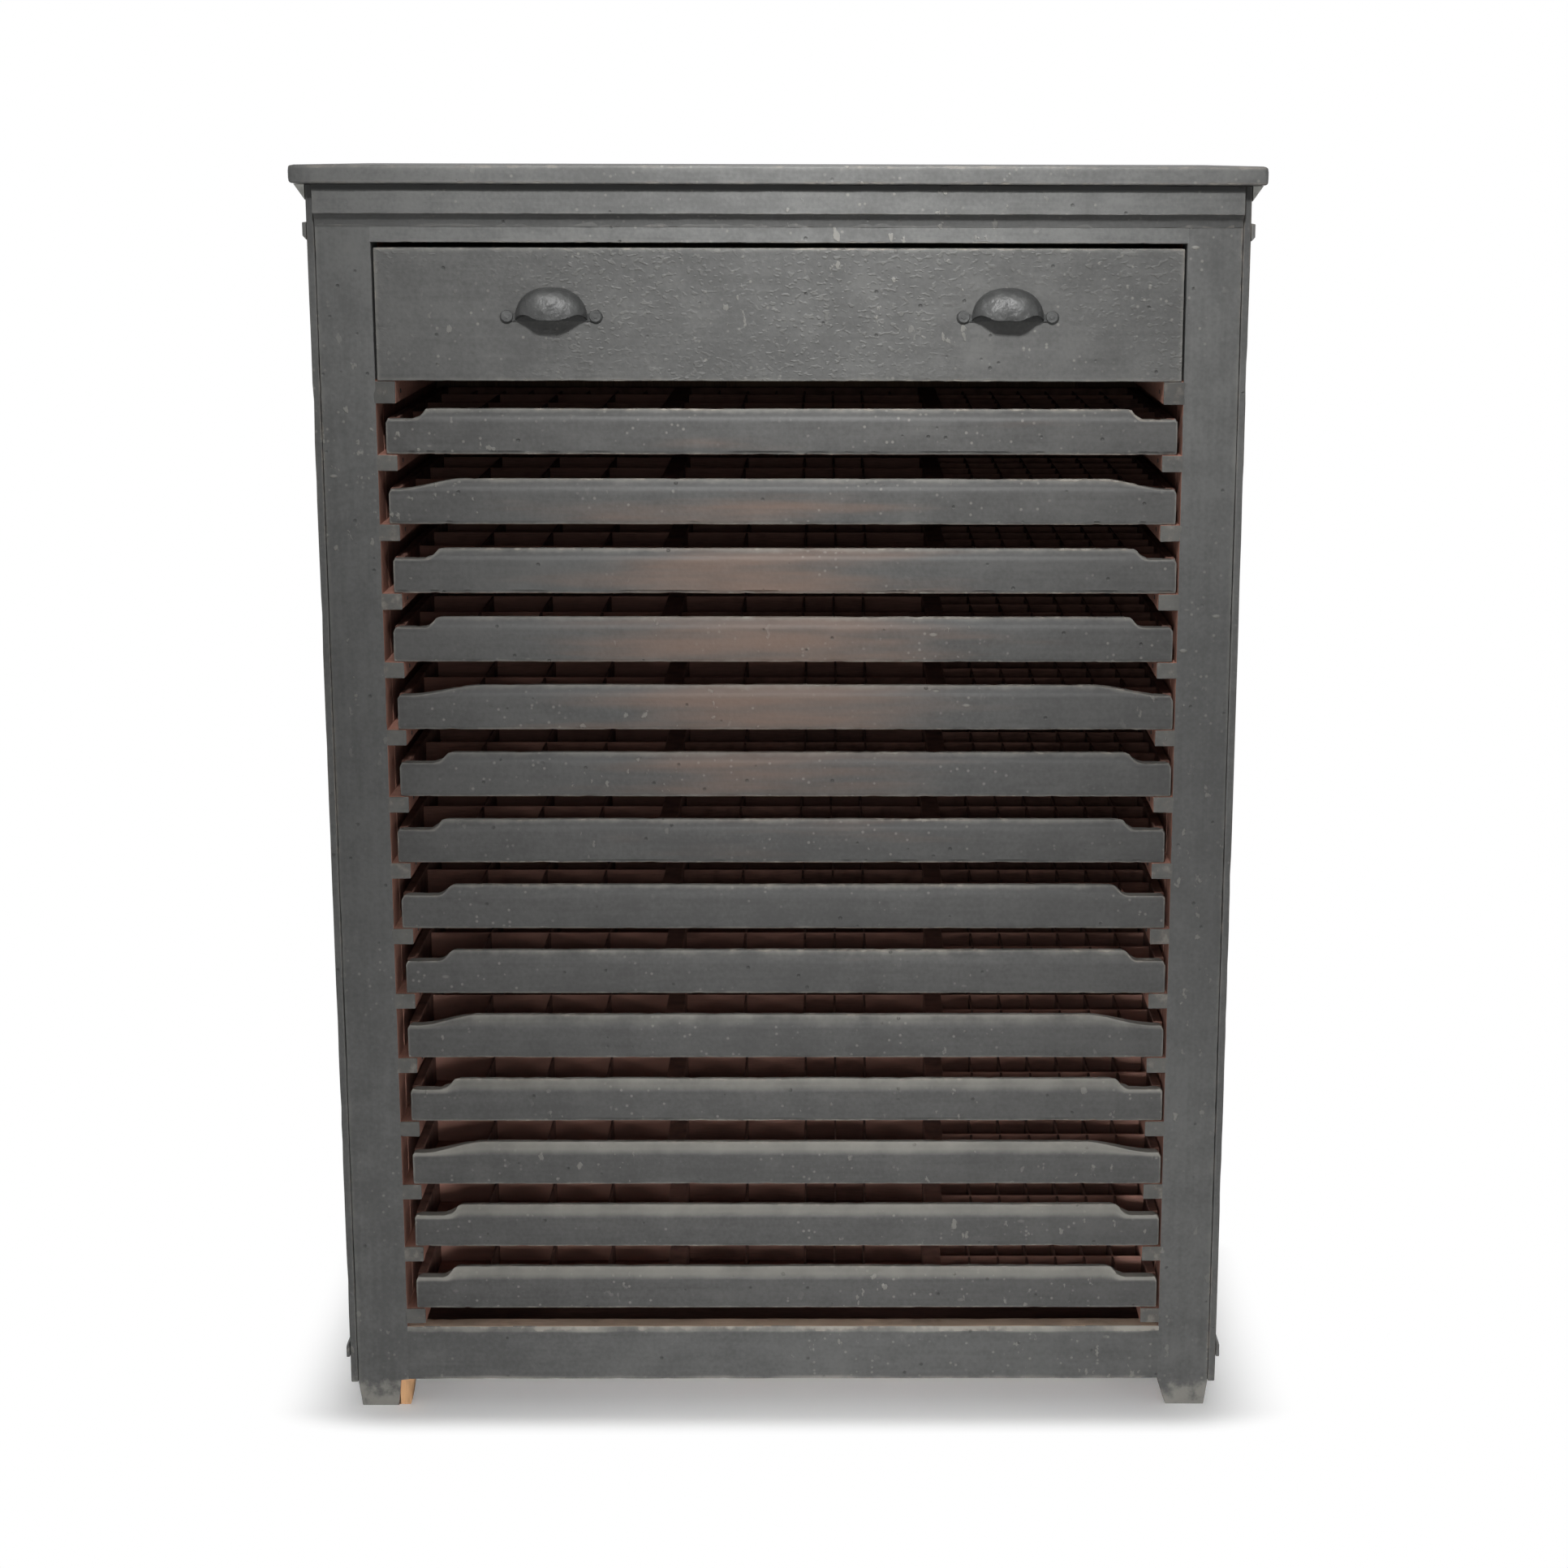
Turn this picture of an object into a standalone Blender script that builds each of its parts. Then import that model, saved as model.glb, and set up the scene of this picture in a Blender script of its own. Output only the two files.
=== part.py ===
"""Printers type cabinet: a painted case of sliding type trays under one drawer with cup pulls.

The front faces -Y, +X is the right hand of someone facing the cabinet, and the origin is on the
floor, in the middle of the cabinet's footprint. All sizes are in metres.
"""

from math import atan2, radians

import bmesh
import bpy
from mathutils import Matrix, Vector

# Fits
TOUCH = 0.0003               # gap between pieces that bear on each other
DRAWER_PLAY = 0.002          # each side of the drawer front
DRAWER_TOP_GAP = 0.005       # over the drawer front
DRAWER_BACK_GAP = 0.026      # behind the drawer
TRAY_PLAY = 0.007            # each side of a tray that lies in the middle
TRAY_BACK_GAP = 0.031        # behind a tray

# Case
OPENING_WIDTH = 0.839        # between the inner faces of the posts
POST_WIDTH = 0.057
POST_DEPTH = 0.045
CASE_DEPTH = 0.456           # front of the front posts to the back of the rear posts
SIDE_THICKNESS = 0.008
SIDE_FLOOR_GAP = 0.028       # the side boards stop short of the floor
BACK_THICKNESS = 0.012
BACK_PLANKS = 7
BACK_GROOVE = 0.0025         # depth of the V joint between back planks
FOOT_HEIGHT = 0.0315
FOOT_TAPER = 0.0035          # each side of a foot
RAIL_THICKNESS = 0.022
BOTTOM_RAIL_HEIGHT = 0.0635
TOP_RAIL_SHOWN = 0.016       # below the cornice
BOTTOM_BOARD_THICKNESS = 0.012
BOTTOM_BOARD_RISE = 0.010    # above the lower edge of the bottom rails

# Top
TOP_THICKNESS = 0.019
TOP_SIDE_MARGIN = 0.0017     # past the bed mould under it
TOP_FRONT_OVERHANG = 0.022
TOP_BACK_OVERHANG = 0.003
TOP_CORNER = 0.006           # rounding of the top's upright corners
TOP_ARRIS = 0.0025           # rounding of its upper and lower edges
CORNICE_PROJECTION = 0.010
CORNICE_FASCIA = 0.0295
CORNICE_COVE = 0.0135
BED_MOULD_WIDTH = 0.0115     # sloped strip under the top along each side
BED_MOULD_HEIGHT = 0.0165

# Planted mouldings along the sides
MOULD_HEIGHT = 0.018
MOULD_PROJECTION = 0.004
MOULD_BEVEL = 0.0045
UPPER_MOULD_DROP = 0.022     # below the bed mould
LOWER_MOULD_RISE = 0.030     # above the lower edge of the side board

# Runners and the lining boards that carry them
LINING_THICKNESS = 0.016
RUNNER_WIDTH = 0.0205
RUNNER_HEIGHT = 0.0175
LOWEST_RUNNER_RISE = 0.0033  # above the bottom rail
DRAWER_RUNNER_HEIGHT = 0.0235

# Trays
TRAY_COUNT = 14
TRAY_PITCH = 0.0732
TRAY_HEADROOM = 0.0524       # base of the top tray to the underside of the drawer runner
# Share of the play that each tray lies to the right of the middle, from the top down
TRAY_SHIFTS = (0.3, 0.4, 0.7, 0.4, 0.7, 0.7, 0.0, 0.3, 0.6, 0.6, 0.7, 0.7, 0.7, 0.6)
TRAY_FRONT_THICKNESS = 0.014
TRAY_SIDE_HEIGHT = 0.0368
TRAY_FRONT_RISE = 0.0104     # the middle of a front stands this much over its ends
TRAY_FRONT_SLOPE = 0.007     # the risen part leans back this far
TRAY_SHOULDER = 0.033        # level end of a stepped front
TRAY_STEP = 0.022            # length of the S curve beside it
TRAY_STEP_PULL = 0.55        # share of the step that each handle of its curve takes
TRAY_RAMP_SHOULDER = 0.008   # level end of a ramped front
TRAY_RAMP = 0.075
TRAY_RAMP_PULL = 0.3
RAMPED_TRAYS = (2, 5, 10, 12)
TRAY_WALL = 0.010
TRAY_FLOOR = 0.005
BAR_WIDTH = 0.020            # the two heavy bars between the bays
RIGHT_BAY_WIDTH = 0.229
DIVIDER = 0.004
LEFT_BAY_COLUMNS = (2, 2, 2, 2)
MIDDLE_BAY_COLUMNS = (2, 2, 1, 1, 2)
RIGHT_BAY_COLUMNS = (1, 1, 1, 1, 1, 1, 1)
WIDE_BAY_ROWS = 3
RIGHT_BAY_ROWS = 2

# Drawer
DRAWER_FRONT_HEIGHT = 0.136
DRAWER_FRONT_THICKNESS = 0.020
DRAWER_WALL = 0.012
DRAWER_SIDE_DROP = 0.024     # the sides stand this far below the front's top edge
DRAWER_BACK_DROP = 0.002     # and the back below the sides
DRAWER_BOTTOM_THICKNESS = 0.006
DRAWER_BOTTOM_RISE = 0.008   # underside of the bottom above the drawer's base
PULL_SPACING = 0.4716        # between the middles of the two pulls
PULL_DROP = 0.074            # drawer top edge to the mouth of a pull

# Cup pull
CUP_WIDTH = 0.062
CUP_HEIGHT = 0.027
CUP_PROJECTION = 0.0205
CUP_WALL = 0.0022
FLANGE_MARGIN = 0.007
FLANGE_THICKNESS = 0.002
EAR_REACH = 0.0085           # end of the flange to the middle of an ear
EAR_RADIUS = 0.0062
EAR_RISE = 0.003             # middle of an ear above the mouth
EAR_NECK = 0.007

# Fineness of curved stretches
CURVE_STEPS = 8
CORNER_STEPS = 4
ARRIS_STEPS = 2
EAR_SIDES = 12
DOME_SIDES = 20
DOME_RINGS = 12
ROUND = 0.5523               # handle of a quarter circle, as a share of its radius
WELD = 0.00001               # points closer than this are one
REACH = 0.05                 # how far a cutter stands past what it cuts

# Places that follow from the sizes
case_back = TOP_FRONT_OVERHANG + CASE_DEPTH
overall_depth = case_back + TOUCH + BACK_THICKNESS + TOP_BACK_OVERHANG
FRONT_Y = TOP_FRONT_OVERHANG - overall_depth / 2
REAR_Y = FRONT_Y + CASE_DEPTH
TRAY_WIDTH = OPENING_WIDTH - 2 * TRAY_PLAY
TRAY_DEPTH = CASE_DEPTH - TRAY_BACK_GAP
DRAWER_DEPTH = CASE_DEPTH - DRAWER_BACK_GAP
TOP_RAIL_HEIGHT = CORNICE_FASCIA + CORNICE_COVE + TOP_RAIL_SHOWN
TOP_SIDE_OVERHANG = TOUCH + BED_MOULD_WIDTH + TOP_SIDE_MARGIN
OPENING_X = OPENING_WIDTH / 2
POST_X = OPENING_X + POST_WIDTH
SIDE_X = POST_X + TOUCH + SIDE_THICKNESS
LOWEST_RUNNER_Z = FOOT_HEIGHT + BOTTOM_RAIL_HEIGHT + LOWEST_RUNNER_RISE
LOWEST_TRAY_Z = LOWEST_RUNNER_Z + RUNNER_HEIGHT + TOUCH
TOP_TRAY_Z = LOWEST_TRAY_Z + (TRAY_COUNT - 1) * TRAY_PITCH
DRAWER_RUNNER_Z = TOP_TRAY_Z + TRAY_HEADROOM
DRAWER_Z = DRAWER_RUNNER_Z + DRAWER_RUNNER_HEIGHT + TOUCH
TOP_RAIL_Z = DRAWER_Z + DRAWER_FRONT_HEIGHT + DRAWER_TOP_GAP
CASE_TOP_Z = TOP_RAIL_Z + TOP_RAIL_HEIGHT


def clear_scene():
    for leftover in list(bpy.data.objects):
        bpy.data.objects.remove(leftover)


def make_collection(name):
    collection = bpy.data.collections.new(name)
    bpy.context.scene.collection.children.link(collection)
    return collection


def make_material(name, colour, roughness, metallic=0.0):
    material = bpy.data.materials.new(name)
    material.use_nodes = True
    shader = material.node_tree.nodes["Principled BSDF"]
    shader.inputs["Base Color"].default_value = (*colour, 1.0)
    shader.inputs["Roughness"].default_value = roughness
    shader.inputs["Metallic"].default_value = metallic
    return material


clear_scene()
CABINET = make_collection("printers_type_cabinet")
CUTTERS = make_collection("cutters")
PAINT = make_material("charcoal paint", (0.10, 0.10, 0.097), 0.5)
TRAY_PAINT = make_material("worn charcoal paint", (0.085, 0.08, 0.074), 0.55)
CASE_WOOD = make_material("bare brown wood", (0.075, 0.035, 0.022), 0.7)
BACK_WOOD = make_material("bare back planks", (0.12, 0.07, 0.045), 0.75)
IRON = make_material("painted cast iron", (0.07, 0.07, 0.068), 0.45, 0.3)


def add_object(name, data, material, parent, collection=None):
    piece = bpy.data.objects.new(name, data)
    (collection or CABINET).objects.link(piece)
    piece.parent = parent
    if material and not data.materials:
        data.materials.append(material)
    return piece


def add_empty(name, location):
    empty = bpy.data.objects.new(name, None)
    empty.location = location
    CABINET.objects.link(empty)
    return empty


def box_mesh(name, boxes):
    """A mesh of one closed box for each pair of low and high corners."""
    form = bmesh.new()
    for low, high in boxes:
        size = Vector(high) - Vector(low)
        place = Matrix.Translation((Vector(low) + Vector(high)) / 2) @ Matrix.Diagonal((*size, 1.0))
        bmesh.ops.create_cube(form, size=1.0, matrix=place)
    mesh = bpy.data.meshes.new(name)
    form.to_mesh(mesh)
    form.free()
    return mesh


def add_board(name, low, high, material, parent):
    return add_object(name, box_mesh(name, [(low, high)]), material, parent)


def evaluated_mesh(piece, name):
    """The finished mesh of an object with its modifiers, its doubled points welded."""
    bpy.context.view_layer.update()
    depsgraph = bpy.context.evaluated_depsgraph_get()
    mesh = bpy.data.meshes.new_from_object(piece.evaluated_get(depsgraph))
    mesh.name = name
    form = bmesh.new()
    form.from_mesh(mesh)
    bmesh.ops.remove_doubles(form, verts=form.verts, dist=WELD)
    bmesh.ops.recalc_face_normals(form, faces=form.faces)
    form.to_mesh(mesh)
    form.free()
    return mesh


def outline_mesh(name, corners, thickness, steps=CURVE_STEPS):
    """A flat outline given a thickness. A corner is (u, v), or (u, v, arriving, leaving) with the
    offsets of its handles where a curve arrives or leaves."""
    curve = bpy.data.curves.new(name, "CURVE")
    curve.dimensions = "2D"
    curve.fill_mode = "BOTH"
    curve.extrude = thickness / 2
    curve.resolution_u = steps
    spline = curve.splines.new("BEZIER")
    spline.bezier_points.add(len(corners) - 1)
    spline.use_cyclic_u = True
    for point, (u, v, *handles) in zip(spline.bezier_points, corners):
        arriving, leaving = handles or (None, None)
        point.co = (u, v, 0)
        point.handle_left_type = "FREE" if arriving else "VECTOR"
        point.handle_right_type = "FREE" if leaving else "VECTOR"
        if arriving:
            point.handle_left = (u + arriving[0], v + arriving[1], 0)
        if leaving:
            point.handle_right = (u + leaving[0], v + leaving[1], 0)
    holder = bpy.data.objects.new(name, curve)
    CUTTERS.objects.link(holder)
    mesh = evaluated_mesh(holder, name)
    bpy.data.objects.remove(holder)
    return mesh


UPRIGHT = Matrix.Rotation(radians(90), 4, "X")              # u to X, v to Z
SIDEWAYS = Matrix.Rotation(radians(90), 4, "Z") @ UPRIGHT   # u to Y, v to Z


def add_outline(name, corners, thickness, turn, location, material, parent):
    """An outline stood up by turn, with the middle of its thickness at location."""
    mesh = outline_mesh(name, corners, thickness)
    mesh.transform(turn)
    piece = add_object(name, mesh, material, parent)
    piece.location = location
    return piece


def add_cutter(name, mesh, parent=None):
    cutter = add_object(name, mesh, None, parent, CUTTERS)
    cutter.hide_render = True
    cutter.display_type = "WIRE"
    return cutter


def combine(piece, other, operation):
    boolean = piece.modifiers.new(other.name, "BOOLEAN")
    boolean.operation = operation
    boolean.solver = "EXACT"
    boolean.object = other


def mirrored(corners):
    """The same outline on the other side of the upright axis."""
    return [(-u, v) for u, v in reversed(corners)]


SIDES = (("left", -1), ("right", 1))


def build_posts(case):
    """Four square posts, each drawn in at its foot."""
    corners = [
        (OPENING_X, CASE_TOP_Z - TOUCH),
        (OPENING_X, FOOT_HEIGHT),
        (OPENING_X + FOOT_TAPER, 0),
        (POST_X - FOOT_TAPER, 0),
        (POST_X, SIDE_FLOOR_GAP),
        (POST_X, CASE_TOP_Z - TOUCH),
    ]
    for place, y in (("front", FRONT_Y + POST_DEPTH / 2), ("rear", REAR_Y - POST_DEPTH / 2)):
        for side, sign in SIDES:
            shape = corners if sign > 0 else mirrored(corners)
            add_outline(f"post_{place}_{side}", shape, POST_DEPTH, UPRIGHT, (0, y, 0), PAINT, case)


def build_rails(case):
    """Rails between the posts, front and back, and the bottom board between the lower ones."""
    half = OPENING_X - TOUCH
    levels = (
        ("top_rail", TOP_RAIL_Z, CASE_TOP_Z - TOUCH),
        ("bottom_rail", FOOT_HEIGHT, FOOT_HEIGHT + BOTTOM_RAIL_HEIGHT),
    )
    places = (
        ("front", FRONT_Y, FRONT_Y + RAIL_THICKNESS),
        ("rear", REAR_Y - RAIL_THICKNESS, REAR_Y),
    )
    for level, low, high in levels:
        for place, front, back in places:
            add_board(f"{level}_{place}", (-half, front, low), (half, back, high), PAINT, case)

    inside = OPENING_X - 2 * TOUCH
    base = FOOT_HEIGHT + BOTTOM_BOARD_RISE
    low = (-inside, FRONT_Y + RAIL_THICKNESS + TOUCH, base)
    high = (inside, REAR_Y - RAIL_THICKNESS - TOUCH, base + BOTTOM_BOARD_THICKNESS)
    add_board("bottom_board", low, high, CASE_WOOD, case)


def build_skin(case):
    """Side boards outside the posts, and grooved planks across the back."""
    for side, sign in SIDES:
        inner, outer = sorted((sign * (POST_X + TOUCH), sign * SIDE_X))
        low = (inner, FRONT_Y, SIDE_FLOOR_GAP)
        high = (outer, REAR_Y, CASE_TOP_Z - TOUCH)
        add_board(f"side_board_{side}", low, high, PAINT, case)

    joints = [-SIDE_X + 2 * SIDE_X * plank / BACK_PLANKS for plank in range(1, BACK_PLANKS)]
    inside = [(-SIDE_X, 0)]
    for x in joints:
        inside += [(x - BACK_GROOVE, 0), (x, BACK_GROOVE), (x + BACK_GROOVE, 0)]
    inside.append((SIDE_X, 0))
    outside = [(x, BACK_THICKNESS - depth) for x, depth in reversed(inside)]
    height = CASE_TOP_Z - TOUCH - FOOT_HEIGHT
    place = (0, REAR_Y + TOUCH, FOOT_HEIGHT + height / 2)
    add_outline("back_planks", inside + outside, height, Matrix.Identity(4), place, BACK_WOOD, case)


def build_top(case):
    """The top board and the mouldings under its front and sides."""
    half = SIDE_X + TOP_SIDE_OVERHANG
    low = (-half, -overall_depth / 2, CASE_TOP_Z)
    high = (half, overall_depth / 2, CASE_TOP_Z + TOP_THICKNESS)
    mesh = box_mesh("top_board", [(low, high)])
    form = bmesh.new()
    form.from_mesh(mesh)
    upright = [edge for edge in form.edges if edge.verts[0].co.xy == edge.verts[1].co.xy]
    bmesh.ops.bevel(
        form,
        geom=upright,
        offset=TOP_CORNER,
        affect="EDGES",
        segments=CORNER_STEPS,
        profile=0.5,
        material=-1,
    )
    form.to_mesh(mesh)
    form.free()
    arris = add_object("top_board", mesh, PAINT, case).modifiers.new("eased edges", "BEVEL")
    arris.width = TOP_ARRIS
    arris.segments = ARRIS_STEPS
    arris.limit_method = "ANGLE"

    foot = -CORNICE_FASCIA - CORNICE_COVE
    profile = [
        (0, -TOUCH),
        (0, foot, None, (0, CORNICE_COVE * ROUND)),
        (-CORNICE_PROJECTION, -CORNICE_FASCIA, (CORNICE_PROJECTION * ROUND, 0), None),
        (-CORNICE_PROJECTION, -TOUCH),
    ]
    place = (0, FRONT_Y - TOUCH, CASE_TOP_Z)
    cornice = add_outline("cornice", profile, 2 * SIDE_X, SIDEWAYS, place, PAINT, case)
    for side, sign in SIDES:
        mesh = box_mesh("mitre", [((0, -REACH, foot - REACH), (REACH, REACH, REACH))])
        mesh.transform(Matrix.Rotation(radians(45), 4, "Z"))
        if sign < 0:
            mesh.transform(Matrix.Rotation(radians(90), 4, "Z"))
        cutter = add_cutter(f"cornice_mitre_{side}", mesh)
        cutter.location = (sign * SIDE_X, FRONT_Y - TOUCH, CASE_TOP_Z)
        combine(cornice, cutter, "DIFFERENCE")

    bed = [
        (SIDE_X + TOUCH, CASE_TOP_Z - TOUCH - BED_MOULD_HEIGHT),
        (SIDE_X + TOUCH + BED_MOULD_WIDTH, CASE_TOP_Z - TOUCH),
        (SIDE_X + TOUCH, CASE_TOP_Z - TOUCH),
    ]
    add_side_strips("bed_mould", bed, case)


def add_side_strips(name, corners, case):
    """A moulding of one section along both sides of the case, front to back."""
    for side, sign in SIDES:
        shape = corners if sign > 0 else mirrored(corners)
        place = (0, FRONT_Y + CASE_DEPTH / 2, 0)
        add_outline(f"{name}_{side}", shape, CASE_DEPTH, UPRIGHT, place, PAINT, case)


def build_side_mouldings(case):
    """Planted strips along the sides, their bevels facing the middle of the side."""
    inner = SIDE_X + TOUCH
    outer = inner + MOULD_PROJECTION
    high = CASE_TOP_Z - TOUCH - BED_MOULD_HEIGHT - UPPER_MOULD_DROP
    low = high - MOULD_HEIGHT
    upper = [(inner, low), (outer, low + MOULD_BEVEL), (outer, high), (inner, high)]
    add_side_strips("side_moulding_upper", upper, case)
    low = SIDE_FLOOR_GAP + LOWER_MOULD_RISE
    high = low + MOULD_HEIGHT
    lower = [(inner, low), (outer, low), (outer, high - MOULD_BEVEL), (inner, high)]
    add_side_strips("side_moulding_lower", lower, case)


def build_runner_racks(case):
    """A lining board on each side with a runner for each tray and one for the drawer."""
    runners = [(tray_base(tray) - TOUCH - RUNNER_HEIGHT, RUNNER_HEIGHT) for tray in range(TRAY_COUNT, 0, -1)]
    runners.append((DRAWER_RUNNER_Z, DRAWER_RUNNER_HEIGHT))
    face = OPENING_X - TOUCH
    edge = OPENING_X - RUNNER_WIDTH
    back = OPENING_X + LINING_THICKNESS
    corners = [(back, FOOT_HEIGHT), (back, CASE_TOP_Z - TOUCH), (face, CASE_TOP_Z - TOUCH)]
    for base, height in reversed(runners):
        corners += [(face, base + height), (edge, base + height), (edge, base), (face, base)]
    corners.append((face, FOOT_HEIGHT))
    for side, sign in SIDES:
        shape = corners if sign > 0 else mirrored(corners)
        place = (0, FRONT_Y + CASE_DEPTH / 2, 0)
        rack = add_outline(f"runner_rack_{side}", shape, CASE_DEPTH, UPRIGHT, place, CASE_WOOD, case)
        near, far = sorted((sign * face, sign * (POST_X + REACH)))
        high = CASE_TOP_Z + REACH
        rebates = [
            ((near, FRONT_Y - REACH, -REACH), (far, FRONT_Y + POST_DEPTH + TOUCH, high)),
            ((near, REAR_Y - POST_DEPTH - TOUCH, -REACH), (far, REAR_Y + REACH, high)),
        ]
        combine(rack, add_cutter(f"post_rebates_{side}", box_mesh("rebates", rebates)), "DIFFERENCE")


def tray_base(tray):
    """Height of a tray's underside. Tray 1 is the highest."""
    return LOWEST_TRAY_Z + (TRAY_COUNT - tray) * TRAY_PITCH


def tray_front_mesh(name, shoulder, step, share):
    """A front whose middle stands over its level ends, and leans back above them."""
    half = TRAY_WIDTH / 2
    top = TRAY_SIDE_HEIGHT + TRAY_FRONT_RISE
    low_x = half - shoulder
    high_x = low_x - step
    pull = step * share
    corners = [
        (-half, 0),
        (half, 0),
        (half, TRAY_SIDE_HEIGHT),
        (low_x, TRAY_SIDE_HEIGHT, None, (-pull, 0)),
        (high_x, top, (pull, 0), None),
        (-high_x, top, None, (-pull, 0)),
        (-low_x, TRAY_SIDE_HEIGHT, (pull, 0), None),
        (-half, TRAY_SIDE_HEIGHT),
    ]
    mesh = outline_mesh(name, corners, TRAY_FRONT_THICKNESS)
    mesh.transform(Matrix.Translation((0, TRAY_FRONT_THICKNESS / 2, 0)) @ UPRIGHT)
    blank = add_cutter(f"{name}_blank", mesh)
    slope = box_mesh("slope", [((-half - REACH, -REACH, 0), (half + REACH, 0, REACH))])
    lean = atan2(TRAY_FRONT_SLOPE, TRAY_FRONT_RISE)
    slope.transform(Matrix.Translation((0, 0, TRAY_SIDE_HEIGHT)) @ Matrix.Rotation(-lean, 4, "X"))
    combine(blank, add_cutter(f"{name}_slope", slope), "DIFFERENCE")
    return evaluated_mesh(blank, name)


def bay_pockets(left, right, columns, rows, front, back):
    """Low and high corners of the pockets of one bay, its columns shared out by their widths."""
    unit = (right - left - DIVIDER * (len(columns) - 1)) / sum(columns)
    depth = (back - front - DIVIDER * (rows - 1)) / rows
    top = TRAY_SIDE_HEIGHT + TRAY_FLOOR
    pockets = []
    x = left
    for column in columns:
        for row in range(rows):
            y = front + row * (depth + DIVIDER)
            near = y - TRAY_WALL if row == 0 else y
            pockets.append(((x, near, TRAY_FLOOR), (x + column * unit, y + depth, top)))
        x += column * unit + DIVIDER
    return pockets


def tray_case_mesh():
    """Sides, back, floor and dividers of a tray, as one open case behind its front."""
    half = TRAY_WIDTH / 2
    front = TRAY_FRONT_THICKNESS + TOUCH
    back = TRAY_DEPTH - TRAY_WALL
    inner = half - TRAY_WALL
    wide_bay = (2 * inner - 2 * BAR_WIDTH - RIGHT_BAY_WIDTH) / 2
    left = -inner
    middle = left + wide_bay + BAR_WIDTH
    right = inner - RIGHT_BAY_WIDTH
    solid = box_mesh("blank", [((-half, front, 0), (half, TRAY_DEPTH, TRAY_SIDE_HEIGHT))])
    blank = add_cutter("tray_blank", solid)
    pockets = bay_pockets(left, left + wide_bay, LEFT_BAY_COLUMNS, WIDE_BAY_ROWS, front, back)
    pockets += bay_pockets(middle, middle + wide_bay, MIDDLE_BAY_COLUMNS, WIDE_BAY_ROWS, front, back)
    pockets += bay_pockets(right, inner, RIGHT_BAY_COLUMNS, RIGHT_BAY_ROWS, front, back)
    combine(blank, add_cutter("tray_pockets", box_mesh("pockets", pockets)), "DIFFERENCE")
    return evaluated_mesh(blank, "tray_case")


def build_trays():
    """Type trays, each on its own slide, stacked from the bottom rail to the drawer."""
    stepped = tray_front_mesh("stepped_front", TRAY_SHOULDER, TRAY_STEP, TRAY_STEP_PULL)
    ramped = tray_front_mesh("ramped_front", TRAY_RAMP_SHOULDER, TRAY_RAMP, TRAY_RAMP_PULL)
    case = tray_case_mesh()
    for tray in range(1, TRAY_COUNT + 1):
        shift = TRAY_SHIFTS[(tray - 1) % len(TRAY_SHIFTS)] * TRAY_PLAY
        slide = add_empty(f"tray_slide_{tray:02d}", (shift, FRONT_Y, tray_base(tray)))
        front = ramped if tray in RAMPED_TRAYS else stepped
        add_object(f"tray_front_{tray:02d}", front, TRAY_PAINT, slide)
        add_object(f"tray_case_{tray:02d}", case, CASE_WOOD, slide)


def build_drawer():
    """The drawer: a front, two sides, a back and a bottom, with its pulls."""
    slide = add_empty("drawer_slide", (0, FRONT_Y, DRAWER_Z))
    half = OPENING_X - DRAWER_PLAY
    behind = DRAWER_FRONT_THICKNESS + TOUCH
    side_top = DRAWER_FRONT_HEIGHT - DRAWER_SIDE_DROP
    low = (-half, 0, 0)
    high = (half, DRAWER_FRONT_THICKNESS, DRAWER_FRONT_HEIGHT)
    add_board("drawer_front", low, high, PAINT, slide)
    for side, sign in SIDES:
        inner, outer = sorted((sign * (half - DRAWER_WALL), sign * half))
        low = (inner, behind, 0)
        high = (outer, DRAWER_DEPTH, side_top)
        add_board(f"drawer_side_{side}", low, high, CASE_WOOD, slide)
    inside = half - DRAWER_WALL - TOUCH
    bottom_top = DRAWER_BOTTOM_RISE + DRAWER_BOTTOM_THICKNESS
    low = (-inside, behind, DRAWER_BOTTOM_RISE)
    high = (inside, DRAWER_DEPTH, bottom_top)
    add_board("drawer_bottom", low, high, CASE_WOOD, slide)
    low = (-inside, DRAWER_DEPTH - DRAWER_WALL, bottom_top + TOUCH)
    high = (inside, DRAWER_DEPTH, side_top - DRAWER_BACK_DROP)
    add_board("drawer_back", low, high, CASE_WOOD, slide)
    mouth = DRAWER_FRONT_HEIGHT - PULL_DROP
    for side, sign in SIDES:
        build_cup_pull(f"cup_pull_{side}", (sign * PULL_SPACING / 2, -TOUCH, mouth), slide)


def dome_mesh(name, half_width, projection, height, below):
    """The front upper quarter of an ellipsoid, its mouth lengthened downwards by below."""
    form = bmesh.new()
    bmesh.ops.create_uvsphere(form, u_segments=DOME_SIDES, v_segments=DOME_RINGS, radius=1.0)
    bmesh.ops.scale(form, vec=(half_width, projection, height), verts=form.verts)
    for normal in ((0, 1, 0), (0, 0, -1)):
        geometry = form.verts[:] + form.edges[:] + form.faces[:]
        cut = bmesh.ops.bisect_plane(
            form, geom=geometry, dist=WELD, plane_co=(0, 0, 0), plane_no=normal, clear_outer=True
        )
        rim = [item for item in cut["geom_cut"] if isinstance(item, bmesh.types.BMEdge)]
        mouth = bmesh.ops.holes_fill(form, edges=rim)["faces"]
    if below:
        grown = bmesh.ops.extrude_face_region(form, geom=mouth)
        bmesh.ops.delete(form, geom=mouth, context="FACES_ONLY")
        moved = [item for item in grown["geom"] if isinstance(item, bmesh.types.BMVert)]
        bmesh.ops.translate(form, vec=(0, 0, -below), verts=moved)
    bmesh.ops.recalc_face_normals(form, faces=form.faces)
    mesh = bpy.data.meshes.new(name)
    form.to_mesh(mesh)
    form.free()
    return mesh


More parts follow.
